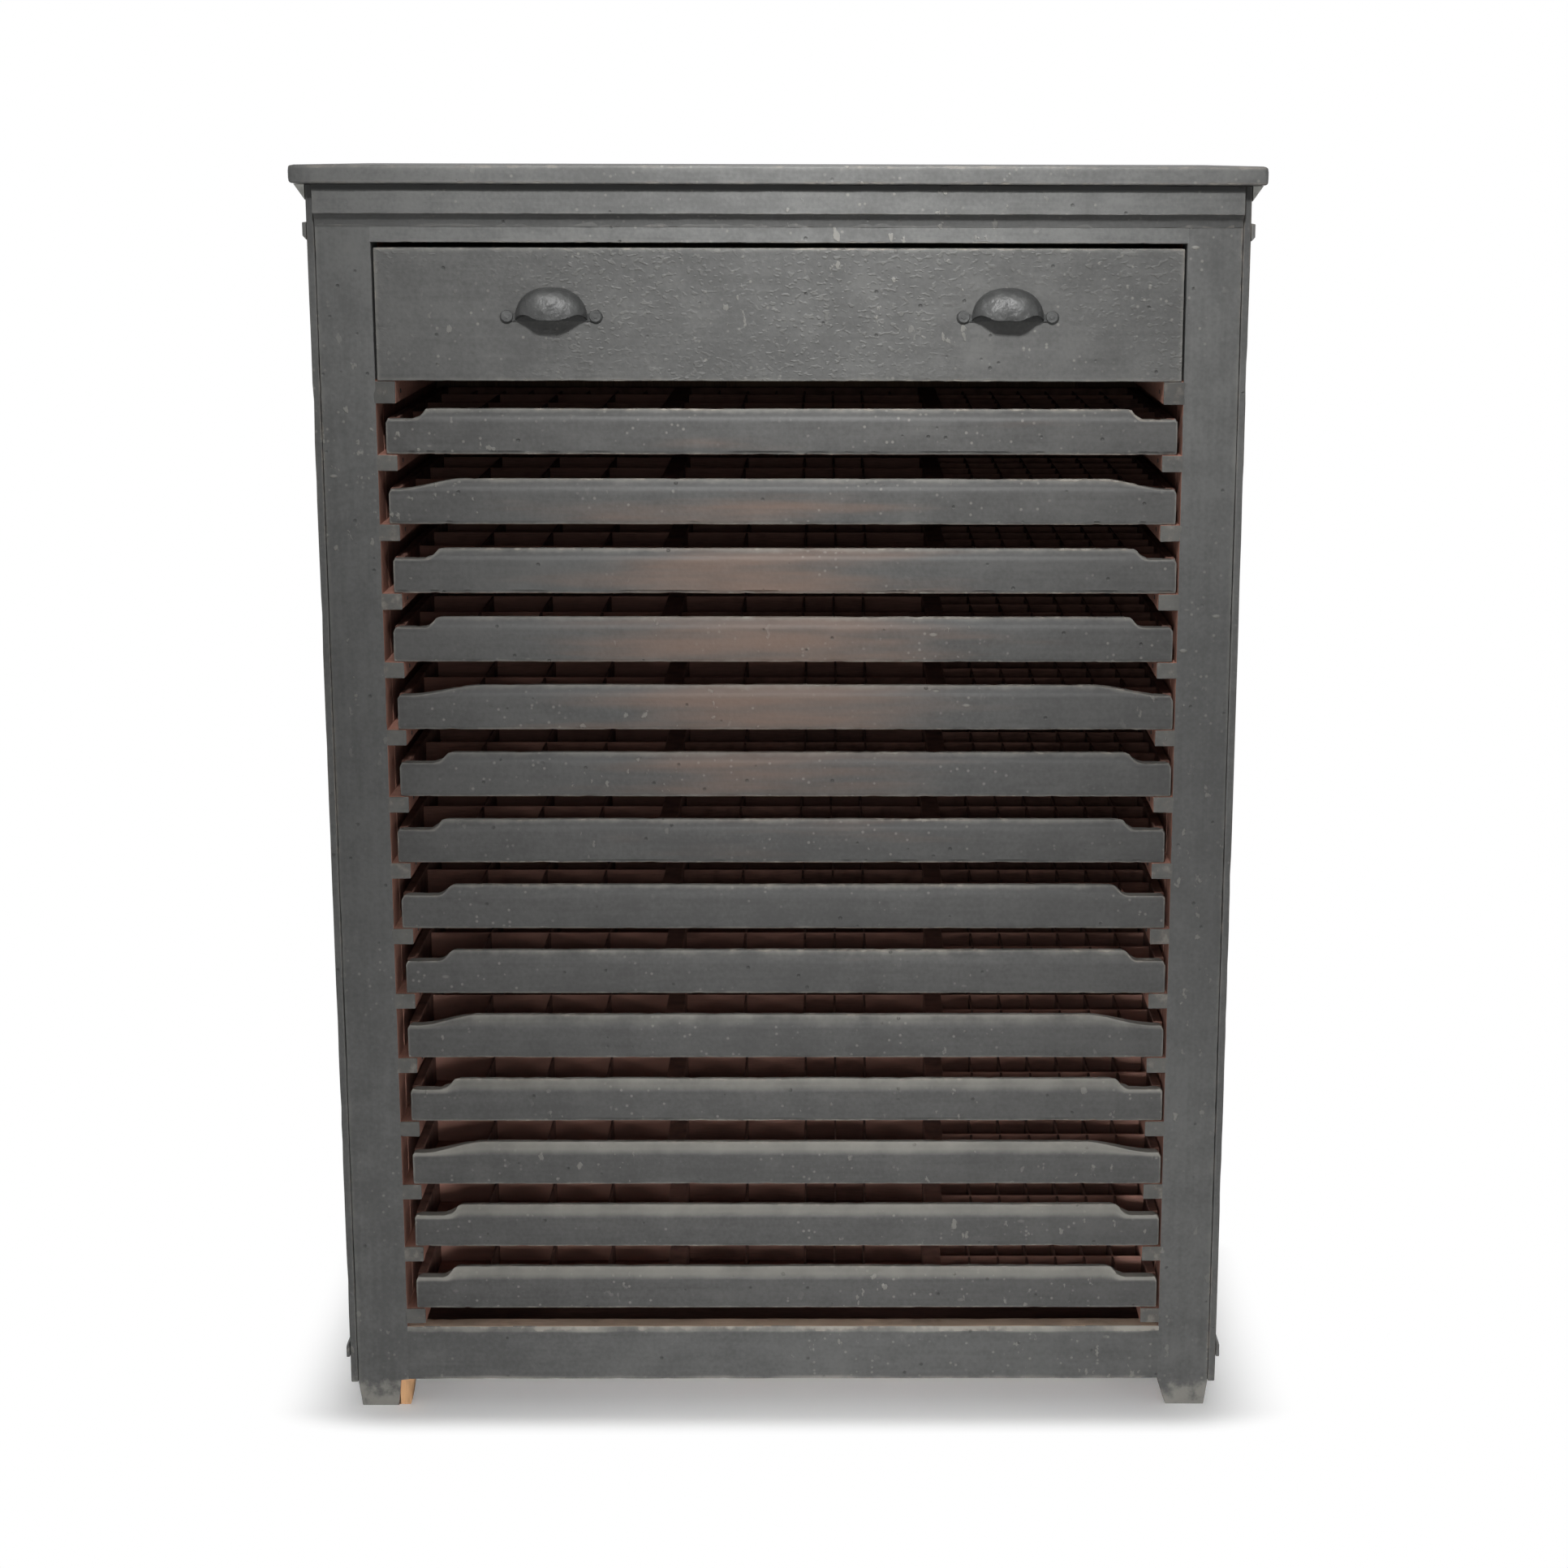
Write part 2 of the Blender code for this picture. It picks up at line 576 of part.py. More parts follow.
def ear_mesh(name):
    """A round ear as thick as the flange, its back in the plane of the flange's back."""
    form = bmesh.new()
    bmesh.ops.create_cone(
        form,
        cap_ends=True,
        segments=EAR_SIDES,
        radius1=EAR_RADIUS,
        radius2=EAR_RADIUS,
        depth=FLANGE_THICKNESS,
    )
    mesh = bpy.data.meshes.new(name)
    form.to_mesh(mesh)
    form.free()
    mesh.transform(Matrix.Translation((0, -FLANGE_THICKNESS / 2, 0)) @ UPRIGHT)
    return mesh


def build_cup_pull(name, location, slide):
    """A cup pull: a hollow quarter dome on a flange, with a round ear for a screw at each end."""
    half = CUP_WIDTH / 2 + FLANGE_MARGIN
    high = CUP_HEIGHT + FLANGE_MARGIN
    ear = half + EAR_REACH
    rise = high - EAR_NECK
    flange = [
        (-ear, 0),
        (ear, 0),
        (ear, EAR_NECK),
        (half, EAR_NECK, None, (0, rise * ROUND)),
        (0, high, (half * ROUND, 0), (-half * ROUND, 0)),
        (-half, EAR_NECK, (0, rise * ROUND), None),
        (-ear, EAR_NECK),
    ]
    place = (location[0], location[1] - FLANGE_THICKNESS / 2, location[2])
    pull = add_outline(name, flange, FLANGE_THICKNESS, UPRIGHT, place, IRON, slide)
    for side, sign in SIDES:
        lobe = add_cutter(f"{name}_ear_{side}", ear_mesh("ear"), slide)
        lobe.location = (location[0] + sign * ear, location[1], location[2] + EAR_RISE)
        combine(pull, lobe, "UNION")
    shell = dome_mesh(f"{name}_shell", CUP_WIDTH / 2, CUP_PROJECTION, CUP_HEIGHT, 0)
    hollow = dome_mesh(
        f"{name}_hollow",
        CUP_WIDTH / 2 - CUP_WALL,
        CUP_PROJECTION - CUP_WALL,
        CUP_HEIGHT - CUP_WALL,
        CUP_HEIGHT,
    )
    hollow.transform(Matrix.Translation((0, CUP_WALL, 0)))
    for mesh, operation in ((shell, "UNION"), (hollow, "DIFFERENCE")):
        tool = add_cutter(mesh.name, mesh, slide)
        tool.location = location
        combine(pull, tool, operation)


def main():
    case = add_empty("case_frame", (0, 0, 0))
    build_posts(case)
    build_rails(case)
    build_skin(case)
    build_top(case)
    build_side_mouldings(case)
    build_runner_racks(case)
    build_drawer()
    build_trays()


main()
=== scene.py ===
"""Looks of a printers type cabinet: worn charcoal paint, bare brown trays and iron cup pulls.

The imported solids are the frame. Boards are eased and chipped copies of their solids. The trays'
boxes, the runners, the back planks, the pulls and the fasteners are modelled here in full.
"""

import random
from functools import cached_property
from math import copysign, cos, pi, radians, sin, sqrt

import bmesh
import bpy
from bpy.props import FloatProperty, FloatVectorProperty, IntProperty, PointerProperty
from bpy.types import Operator, Panel, PropertyGroup
from mathutils import Matrix, Vector, noise


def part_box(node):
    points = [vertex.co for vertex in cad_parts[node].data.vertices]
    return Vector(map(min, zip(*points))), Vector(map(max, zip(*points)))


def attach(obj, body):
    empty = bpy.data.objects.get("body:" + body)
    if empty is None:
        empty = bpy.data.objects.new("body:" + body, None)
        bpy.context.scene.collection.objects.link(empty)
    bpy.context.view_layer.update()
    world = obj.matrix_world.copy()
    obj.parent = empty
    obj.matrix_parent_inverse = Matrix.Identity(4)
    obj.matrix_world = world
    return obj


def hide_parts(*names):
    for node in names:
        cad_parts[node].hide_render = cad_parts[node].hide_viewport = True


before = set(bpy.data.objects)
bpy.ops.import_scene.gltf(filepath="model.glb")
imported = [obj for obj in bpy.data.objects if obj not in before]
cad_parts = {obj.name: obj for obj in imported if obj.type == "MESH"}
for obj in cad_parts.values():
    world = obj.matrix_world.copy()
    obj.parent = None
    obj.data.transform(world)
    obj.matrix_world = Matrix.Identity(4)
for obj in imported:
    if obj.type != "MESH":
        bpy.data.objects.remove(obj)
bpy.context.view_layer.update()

bl_info = {
    "name": "Printers Type Cabinet",
    "version": (1, 0, 0),
    "blender": (4, 5, 0),
    "location": "View3D > Sidebar > Type Cabinet",
    "description": "Dresses the packed solids of a printers type cabinet",
    "category": "Object",
}

SIDES = (("left", -1), ("right", 1))
TRAYS = [f"{tray:02d}" for tray in range(1, 15)]
RAMPED_TRAYS = ("02", "05", "10", "12")
PLANKS = 7  # boards of the back
SHADED_TRAYS = 8  # the upper trays, whose insides take the most painted shade
FRONT_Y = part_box("post_front_left")[0].y
REAR_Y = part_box("post_rear_left")[1].y
OPENING_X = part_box("post_front_right")[0].x
POST_BACK_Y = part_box("post_front_left")[1].y
FOOT_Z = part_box("bottom_rail_front")[0].z
DRAWER_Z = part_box("drawer_front")[0].z
CORNICE_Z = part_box("cornice")[0].z
TOP_CORNER = 0.006  # rounding of the top board's upright corners
TOP_ROUND = 0.0045  # rounding of the top board's ends, as seen from the front
FOOT_CUT = 0.001  # height of the band of points just under the bottom rail
FOOT_INSIDE = 0.020  # how much of a post's width belongs to the foot's inner side
BAND = 0.003  # points this close to a board's end or front belong to it
DARKEST_Z = 0.72  # height at which the posts are darkest
FLANGE_EASE = 0.0008  # rounding of the front arris of a pull's flange
FLANGE_STEPS = 32  # straight pieces in the round of a flange
FLANGE_POWER = 0.9  # how much fuller than round a flange is
FLANGE_REACH = 0.0006  # how far the flange stands out beside the cup
CUP_POWER = 2.3  # 2 gives a cup a round outline, and more a squarer one
CAST_LUMPS = ((190.0, 0.0006), (90.0, 0.0008))  # pitch and height of the lumps in a pull
EAR_GAP = 0.0085  # from the cup's end to the middle of an ear
RUNNER_TALL = 0.0175  # height of a tray runner
DRAWER_RUNNER_TALL = 0.0235  # height of a drawer runner
RUNNER_SEAT = 0.0026  # how far a runner's root runs into the lining
SPLIT = 0.009  # width that is split off the left front foot
SEAT = 0.0003  # gap between pieces that bear on each other
WELD = 0.00001  # points closer than this are one
WEAR = "wear"  # vertex attribute: 1 on an arris, 0 on open faces
TONE = "tone"  # vertex attribute: grime and painted shade over 0, paleness and painted highlight under it, the reverse on bare wood
SHARP = radians(50)  # edges that turn by more than this are eased
SMOOTH = radians(38)  # edges that turn by less than this are shaded round


def length(name, description, default):
    return FloatProperty(name=name, description=description, default=default, unit="LENGTH", precision=4)


def angle(name, description, degrees):
    return FloatProperty(name=name, description=description, default=radians(degrees), unit="ROTATION")


def number(name, description, default):
    return FloatProperty(name=name, description=description, default=default)


def colour(name, description, default):
    return FloatVectorProperty(
        name=name, description=description, default=default, subtype="COLOR", size=3, min=0.0, max=1.0
    )


class BoardSettings(PropertyGroup):
    """How boards are eased, worn and chipped."""

    ease: length("Ease", "Rounding of a board's arrises", 0.0013)
    fade: length("Fade", "Band beside an arris in which paint thins", 0.006)
    station: length("Station", "Spacing of points along a board", 0.009)
    chip: length("Chip", "Deepest chip out of an arris", 0.0016)


class TraySettings(PropertyGroup):
    """The divided inside of a tray."""

    wall: length("Wall", "Thickness of a tray's sides and back", 0.010)
    floor: length("Floor", "Thickness of a tray's floor", 0.005)
    bar: length("Bar", "Width of the two heavy bars between the bays", 0.020)
    right_bay: length("Right bay", "Width of the right bay", 0.229)
    divider: length("Divider", "Thickness of a divider", 0.0024)
    drop: length("Drop", "How far the dividers stand below the rim", 0.0035)
    rows: IntProperty(name="Rows", description="Boxes from front to back in the right bay", default=7)


class FrontSettings(PropertyGroup):
    """The shaped fronts of the trays."""

    side: length("Side", "Height of a front's level ends", 0.0368)
    rise: length("Rise", "How far the middle stands over the ends", 0.0104)
    slope: length("Slope", "How far the risen part leans back", 0.007)
    shoulder: length("Shoulder", "Level end of a stepped front", 0.034)
    step: length("Step", "Length of the curve beside it", 0.020)
    ramp_shoulder: length("Ramp shoulder", "Level end of a ramped front", 0.008)
    ramp: length("Ramp", "Length of a ramped front's curve", 0.075)
    round: length("Round", "Height of the rounding along the foot of a front", 0.0042)
    turn: length("Turn", "Half the height of the rounding between face and slope", 0.0036)


class PullSettings(PropertyGroup):
    """The cup pulls and their screws."""

    cup: length("Cup", "Half the width of the cup", 0.0297)
    tall: length("Height", "Height of the cup over its mouth", 0.0265)
    wall: length("Wall", "Thickness of the cup", 0.0020)
    margin: length("Margin", "Width of the flange round the cup", 0.0078)
    flange: length("Flange", "Thickness of the flange", 0.0014)
    arch: length("Arch", "Height of the two arches in the lip", 0.0052)
    dip: length("Dip", "Height of the lip between its arches", 0.0017)
    ear: length("Ear", "Radius of an ear", 0.0072)
    ear_rise: length("Ear rise", "Middle of an ear above the mouth", 0.0040)
    screw: length("Screw", "Radius of a screw head", 0.0036)


class FinishSettings(PropertyGroup):
    """Colours of the finishes."""

    charcoal: colour("Charcoal", "Paint of the case", (0.096, 0.0964, 0.0941))
    drawer: colour("Drawer", "Paint of the drawer front", (0.0675, 0.0675, 0.0655))
    tray: colour("Tray", "Paint of the tray fronts", (0.0580, 0.0576, 0.0559))
    undercoat: colour("Undercoat", "Pale layer under the paint", (0.29, 0.28, 0.25))
    rubbed: colour("Rubbed", "Brown that shows where paint is rubbed thin", (0.17, 0.105, 0.075))
    brown_dark: colour("Dark brown", "Dark grain of the bare wood", (0.100, 0.056, 0.044))
    brown_light: colour("Light brown", "Light grain of the bare wood", (0.36, 0.190, 0.148))
    drawer_dark: colour("Drawer grain", "Dark grain inside the drawer", (0.100, 0.062, 0.043))
    drawer_light: colour("Drawer wood", "Light grain inside the drawer", (0.270, 0.168, 0.112))
    lining: colour("Lining", "Reddish wood inside the posts", (0.41, 0.210, 0.160))
    sill: colour("Sill", "Wood that shows on the bottom rail", (0.60, 0.46, 0.35))
    raw: colour("Raw wood", "Freshly split foot", (0.60, 0.35, 0.18))
    # Pale scraped paint that also paints the highlight on the bed moulds' front ends
    scuffed: colour("Scuffed", "Paint scraped pale on the ends of the bed moulds", (0.62, 0.62, 0.58))
    iron: colour("Iron", "Painted iron of the pulls", (0.059, 0.060, 0.059))
    # Also the colour of the painted highlight on the cups' upper swell
    bright: colour("Bright iron", "Iron that fingers have rubbed", (0.21, 0.20, 0.19))


class StageSettings(PropertyGroup):
    """Camera, lamps and floor."""

    lens: number("Lens", "Focal length in millimetres", 64.946)
    place: FloatVectorProperty(
        name="Camera",
        description="Where the camera stands",
        default=(0.0553, -3.1818, 1.3726),
        unit="LENGTH",
    )
    pitch: angle("Pitch", "How far the camera looks down", 12.520)
    yaw: angle("Yaw", "How far the camera turns to its left", -0.457)
    roll: angle("Roll", "Tilt of the camera", 0.127)
    shift: number("Shift", "Sideways shift of the frame", -0.0453)
    key: number("Key", "Power of the narrow lamp over the front", 5.1)
    overhead: number("Overhead", "Power of the wide lamp overhead", 11.0)
    front: number("Front", "Power of the low lamp before the front", 3.5)
    fill: number("Fill", "Power of the lamp beside the camera", 3.5)
    sides: number("Sides", "Power of each lamp off to a side", 11.0)
    behind: number("Behind", "Power of the lamp behind the cabinet", 36.0)
    sky: number("Sky", "Level light from all round", 0.04)


class CabinetSettings(PropertyGroup):
    """Everything about the cabinet that a user would change."""

    boards: PointerProperty(type=BoardSettings)
    trays: PointerProperty(type=TraySettings)
    fronts: PointerProperty(type=FrontSettings)
    pulls: PointerProperty(type=PullSettings)
    finishes: PointerProperty(type=FinishSettings)
    stage: PointerProperty(type=StageSettings)


def settings():
    return bpy.context.scene.type_cabinet


class Value:
    """A node's output that can stand in sums with numbers and other outputs."""

    def __init__(self, finish, socket):
        self.finish = finish
        self.socket = socket

    def maths(self, operation, first, second):
        return self.finish.node("ShaderNodeMath", {"operation": operation}, {0: first, 1: second})

    def __add__(self, other):
        return self.maths("ADD", self, other)

    __radd__ = __add__

    def __sub__(self, other):
        return self.maths("SUBTRACT", self, other)

    def __rsub__(self, other):
        return self.maths("SUBTRACT", other, self)

    def __mul__(self, other):
        return self.maths("MULTIPLY", self, other)

    __rmul__ = __mul__

    def __abs__(self):
        return self.maths("ABSOLUTE", self, 0.0)


class Finish:
    """A material or a world, built from the expressions that its methods return."""

    def __init__(self, owner, shader="Principled BSDF"):
        owner.use_nodes = True
        self.owner = owner
        self.tree = owner.node_tree
        self.shader = self.tree.nodes[shader]

    @cached_property
    def where(self):
        return self.node("ShaderNodeTexCoord", output="Object")

    def node(self, kind, choices=None, values=None, output=0):
        """A node of that kind with its settings, and the values or links of its sockets."""
        node = self.tree.nodes.new(kind)
        for choice, value in (choices or {}).items():
            setattr(node, choice, value)
        for key, value in (values or {}).items():
            self.feed(node.inputs[key], value)
        return Value(self, node.outputs[output])

    def feed(self, socket, value):
        if isinstance(value, Value):
            self.tree.links.new(value.socket, socket)
        elif socket.type == "RGBA":
            socket.default_value = (*value, 1.0)
        else:
            socket.default_value = value

    def stretch(self, scale):
        return self.node("ShaderNodeMapping", None, {"Vector": self.where, "Scale": scale})

    def noise(self, scale, detail=3.0, where=None, distortion=0.0):
        values = {"Vector": where or self.where, "Scale": scale, "Detail": detail, "Distortion": distortion}
        return self.node("ShaderNodeTexNoise", None, values)

    def ramp(self, value, low, high):
        """0 below low, 1 over high and a smooth passage between them."""
        values = {"Value": value, "From Min": low, "From Max": high}
        return self.node("ShaderNodeMapRange", {"interpolation_type": "SMOOTHSTEP"}, values)

    def blend(self, factor, first, second):
        return self.node("ShaderNodeMix", {"data_type": "RGBA"}, {0: factor, 6: first, 7: second}, 2)

    def attribute(self, name):
        return self.node("ShaderNodeAttribute", {"attribute_name": name}, output="Fac")

    def spots(self, scale, share, size, where=None):
        """Spots in a share of the cells of a scattered pattern."""
        values = {"Vector": where or self.where, "Scale": scale}
        cell = self.node("ShaderNodeTexVoronoi", None, values)
        tint = Value(self, cell.socket.node.outputs["Color"])
        chance = self.node("ShaderNodeSeparateColor", None, {0: tint})
        return self.ramp(chance, 1.0 - share, 1.01 - share) * (1.0 - self.ramp(cell, size * 0.4, size))

    def seen(self):
        """1 for rays from the camera, also by way of a mirror or glass, and 0 for all others."""
        ray = self.node("ShaderNodeLightPath", output="Is Camera Ray")
        seen = ray
        for kind in ("Is Glossy Ray", "Is Transmission Ray"):
            seen = seen.maths("MAXIMUM", seen, Value(self, ray.socket.node.outputs[kind]))
        return seen

    def finish(self, base, roughness, height, depth, specular):
        """Joins the colour, the roughness and a bump of that depth to the shader."""
        values = {"Height": height, "Distance": depth, "Strength": 1.0}
        normal = self.node("ShaderNodeBump", None, values)
        sockets = {
            "Base Color": base,
            "Roughness": roughness,
            "Normal": normal,
            "Specular IOR Level": specular,
        }
        for name, value in sockets.items():
            self.feed(self.shader.inputs[name], value)
        return self.owner


ALONG = {"x": (1.0, 16.0, 16.0), "y": (16.0, 1.0, 16.0), "z": (16.0, 16.0, 1.0)}


def shade(tint, amount):
    return tuple(channel * amount for channel in tint)


def paint(name, tint, axis, worn=0.35, rubbed=False, dusty=False, beads=0.0):
    """Old satin paint brushed along an axis: worn at the arrises, darker by a tone over 0, which carries
    grime and painted shade, and paler by one under 0, which carries scuffs and painted highlight.

    Beads is the height of the small lumps that old coats leave under the last one.
    """
    own = settings().finishes
    it = Finish(bpy.data.materials.new(name))
    pale = tuple(own.undercoat)
    cloud = it.noise(2.2, 3.0)
    mottle = it.noise(26.0, 5.0)
    grit = it.noise(230.0, 3.0)
    lumps = it.noise(120.0, 2.0)
    brush = it.noise(11.0, 5.0, it.stretch(ALONG[axis]))
    patchy = 0.30 * cloud + 0.28 * mottle + 0.24 * grit + 0.18 * brush
    base = it.blend(it.ramp(patchy, 0.36, 0.64), shade(tint, 0.78), shade(tint, 1.22))
    axes = it.node("ShaderNodeSeparateXYZ", None, {0: it.where})
    height = Value(it, axes.socket.node.outputs["Z"])
    if rubbed:
        across = 1.0 - it.ramp(abs(axes + 0.02), 0.0, 0.36)
        level = 1.0 - it.ramp(abs(height - 0.86), 0.04, 0.30)
        brushed = it.noise(5.0, 6.0, it.stretch((1.0, 6.0, 13.0)))
        thin = it.ramp(across * level * 0.55 + brushed * 0.9, 0.58, 1.10)
        base = it.blend(thin * 0.55, base, tuple(own.rubbed))
    arris = it.attribute(WEAR)
    ragged = it.noise(95.0, 5.0)
    patch = it.noise(6.0, 3.0)
    handled = it.ramp(arris * 0.55 + mottle * 0.6 + ragged * 0.5, 0.70, 1.30)
    thinned = it.ramp(arris * 0.55 + ragged * 0.5 + patch * 0.5, 1.02, 1.22)
    bare = it.ramp(arris * 0.55 + ragged * 0.6 + patch * 0.45, 1.08, 1.22)
    base = it.blend(handled * worn * 0.4, base, pale)
    base = it.blend(thinned * worn * 0.5, base, tuple(own.rubbed))
    base = it.blend(bare * worn * 0.8, base, pale)
    gathered = it.ramp(it.noise(5.0, 2.0), 0.44, 0.58)
    flecks = it.spots(72.0, 0.13, 0.16, it.stretch((0.42, 1.0, 0.9))) * gathered
    flecks = flecks * (0.4 + 0.6 * it.ramp(height, 0.35, 1.0))
    dots = it.spots(170.0, 0.16, 0.36) * gathered
    pits = it.spots(110.0, 0.05, 0.26)
    nicked = it.ramp(it.noise(4.2, 2.0, it.stretch((1.0, 1.0, 0.6))), 0.50, 0.62)
    nicks = it.ramp(it.noise(92.0, 3.0, it.stretch((1.0, 1.0, 0.7))), 0.665, 0.71) * nicked
    base = it.blend(flecks * 0.42, base, pale)
    base = it.blend(nicks * 0.34, base, pale)
    base = it.blend(dots * 0.30, base, pale)
    base = it.blend(pits * 0.5, base, shade(tint, 0.4))
    if dusty:
        low = 1.0 - it.ramp(height, 0.0, 0.070)
        base = it.blend(it.ramp(low * 0.62 + it.noise(70.0, 5.0), 0.82, 1.12) * 0.6, base, pale)
    # A tone over 0 darkens towards painted shade and grime; one under 0 pales towards painted highlight and
    # scuffs.
    tone = it.attribute(TONE)
    base = it.blend(tone * 0.9, base, shade(tint, 0.25))
    base = it.blend(it.ramp(0.5 * mottle - tone, 0.25, 1.25) * 0.7, base, pale)
    relief = brush * 0.12 + grit * 0.2 + mottle * 0.5 + lumps * 0.25
    relief = relief + flecks * 0.5 + nicks * 0.4 - pits * 0.8 - bare * 0.4
    if beads:
        beaded = it.ramp(it.noise(4.0, 2.0), 0.36, 0.58)
        bead = it.ramp(it.noise(235.0, 1.0, it.stretch((0.66, 1.0, 1.0))), 0.54, 0.70) * beaded
        base = it.blend(bead * 0.16 * beads, base, pale)
        relief = relief + bead * beads
    return it.finish(base, 0.48 + 0.16 * mottle + 0.2 * thinned, relief, depth=0.0011, specular=0.25)


def bare_wood(name, dark, light, axis, roughness=0.62):
    """Bare boards with grain along an axis, darkened in patches by dirt, and darkened as painted shade
    where their tone is low.
    """
    it = Finish(bpy.data.materials.new(name))
    ring_scale = tuple(0.14 + 0.86 * (part > 1.0) for part in ALONG[axis])
    rings = it.noise(17.0, 4.0, it.stretch(ring_scale), 0.7)
    fibre = it.noise(60.0, 4.0, it.stretch(ALONG[axis]))
    dirt_and_shade = it.noise(6.0, 4.0)
    # The tone paints light and shade into the wood: higher tones lighten it, lower ones darken it towards
    # painted shade, as inside the upper trays and on the split foot's inner side.
    tone = it.attribute(TONE)
    amount = it.ramp(0.55 * rings + 0.45 * fibre + 0.35 * tone, 0.3, 0.78)
    base = it.blend(amount, dark, light)
    base = it.blend(it.ramp(dirt_and_shade, 0.5, 0.75) * 0.45, base, shade(dark, 0.7))
    base = it.blend(it.ramp(0.0 - tone, 0.6, 1.7) * 0.85, base, shade(dark, 0.2))
    arris = it.ramp(it.attribute(WEAR) * 0.6 + it.noise(60.0) * 0.6, 0.66, 1.0)
    base = it.blend(arris * 0.25, base, shade(light, 1.5))
    return it.finish(base, roughness + 0.16 * fibre, fibre * 0.6 + rings * 0.4, depth=0.0006, specular=0.2)


def pull_iron():
    """Rough-cast iron under several coats of paint, rubbed bright on its swell, with painted highlight on
    the upper swell and painted shade on the flange, the lip and the rims of the ears.
    """
    own = settings().finishes
    it = Finish(bpy.data.materials.new("pull_iron"))
    lumps = it.noise(170.0, 4.0)
    mottle = it.noise(45.0, 3.0)
    # The tone is painted light: 1 on the lit upper swell, 0 on the flange, near the lip and round the ears'
    # bases, where it paints shade. The rub is real wear and painted highlight, since the cup's wear is
    # scaled by how lit it is.
    swell = it.attribute(TONE)
    rub_and_highlight = it.ramp(it.attribute(WEAR) * 0.6 + lumps * 0.5, 0.55, 0.95)
    base = it.blend(it.ramp(mottle, 0.35, 0.7), shade(own.iron, 0.75), shade(own.iron, 1.25))
    base = it.blend((1.0 - swell) * 0.6, base, shade(own.iron, 0.3))
    base = it.blend(rub_and_highlight * 0.14, base, tuple(own.bright))
    relief = lumps * 0.8 + mottle * 0.9
    return it.finish(base, 0.35 + 0.2 * mottle, relief, depth=0.0016, specular=0.28)


FINISHES = {}


def make_finishes():
    own = settings().finishes
    dark = tuple(own.brown_dark)
    light = tuple(own.brown_light)
    FINISHES.update(
        case_upright=paint("case_paint_upright", shade(own.charcoal, 0.84), "z", dusty=True),
        case_level=paint("case_paint_level", tuple(own.charcoal), "x"),
        case_deep=paint("case_paint_deep", tuple(own.charcoal), "y"),
        case_rail=paint("case_paint_rail", shade(own.charcoal, 0.76), "x", worn=0.9),
        scuffed=paint("scuffed_paint", tuple(own.scuffed), "y"),
        drawer=paint("drawer_paint", tuple(own.drawer), "x", worn=0.5, beads=0.42),
        tray=paint("tray_paint", tuple(own.tray), "x", worn=1.0, rubbed=True),
        wood_x=bare_wood("brown_wood_x", dark, light, "x"),
        drawer_x=bare_wood("drawer_wood_x", tuple(own.drawer_dark), tuple(own.drawer_light), "x"),
        drawer_y=bare_wood("drawer_wood_y", tuple(own.drawer_dark), tuple(own.drawer_light), "y"),
        lining=bare_wood("lining_wood", shade(own.lining, 0.4), tuple(own.lining), "z"),
        runner=bare_wood("runner_wood", shade(own.lining, 0.4), tuple(own.lining), "y"),
        sill=bare_wood("sill_wood", shade(own.sill, 0.4), tuple(own.sill), "x"),
        back=bare_wood("back_wood", shade(own.drawer_dark, 0.9), shade(own.drawer_light, 0.9), "z"),
        raw=bare_wood("raw_wood", shade(own.raw, 0.7), tuple(own.raw), "z", roughness=0.7),
        iron=pull_iron(),
    )


def clamp(value):
    return min(max(value, 0.0), 1.0)


def smooth(value):
    """A passage from 0 to 1 that starts and ends level."""
    share = clamp(value)
    return share * share * (3.0 - 2.0 * share)


def add_layers(form):
    for name in (WEAR, TONE):
        form.verts.layers.float.new(name)


def new_form():
    form = bmesh.new()
    add_layers(form)
    return form


def add_box(form, low, high, tone=0.0):
    """A plain box between two corners, whose points it returns."""
    low, high = Vector(low), Vector(high)
    place = Matrix.Translation((low + high) / 2) @ Matrix.Diagonal((*(high - low), 1.0))
    points = bmesh.ops.create_cube(form, size=1.0, matrix=place)["verts"]
    layer = form.verts.layers.float[TONE]
    for point in points:
        point[layer] = tone
    return points


def solid_copy(node):
    """The node's solid as a form of whole flat faces."""
    form = bmesh.new()
    form.from_mesh(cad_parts[node].data)
    for layers in (form.loops.layers.uv, form.verts.layers.float_vector, form.loops.layers.float_color):
        for layer in list(layers.values()):
            layers.remove(layer)
    bmesh.ops.remove_doubles(form, verts=form.verts, dist=WELD)
    bmesh.ops.dissolve_limit(form, angle_limit=radians(1.0), verts=form.verts, edges=form.edges)
    add_layers(form)
    return form


def add_fade(form, fade):
    """A band inside the border of each flat face, at whose inner edge the wear ends."""
    for face in list(form.faces):
        width = 2.0 * face.calc_area() / face.calc_perimeter()
        band = min(fade, 0.3 * width)
        bmesh.ops.inset_individual(form, faces=[face], thickness=band, use_even_offset=True)


def cut_across(form, axis, places):
    """Cuts the form square to an axis at each of the places."""
    normal = Vector((0, 0, 0))
    normal[axis] = 1.0
    for place in places:
        geometry = form.verts[:] + form.edges[:] + form.faces[:]
        bmesh.ops.bisect_plane(form, geom=geometry, dist=WELD, plane_co=normal * place, plane_no=normal)


def even_places(low, high, step):
    """Places at even steps between two limits, which are left out."""
    count = max(1, int((high - low) / step))
    return [low + (high - low) * place / count for place in range(1, count)]


def cut_stations(form, axis, step):
    """Cuts the form across an axis at even steps."""
    along = [vertex.co[axis] for vertex in form.verts]
    cut_across(form, axis, even_places(min(along), max(along), step))


def bevel(form, edges, width, segments, clamp_overlap=False):
    """Rounds edges, and returns the points that this makes."""
    made = bmesh.ops.bevel(
        form,
        geom=edges,
        offset=width,
        affect="EDGES",
        segments=segments,
        profile=0.5,
        material=-1,
        clamp_overlap=clamp_overlap,
    )
    return made["verts"]


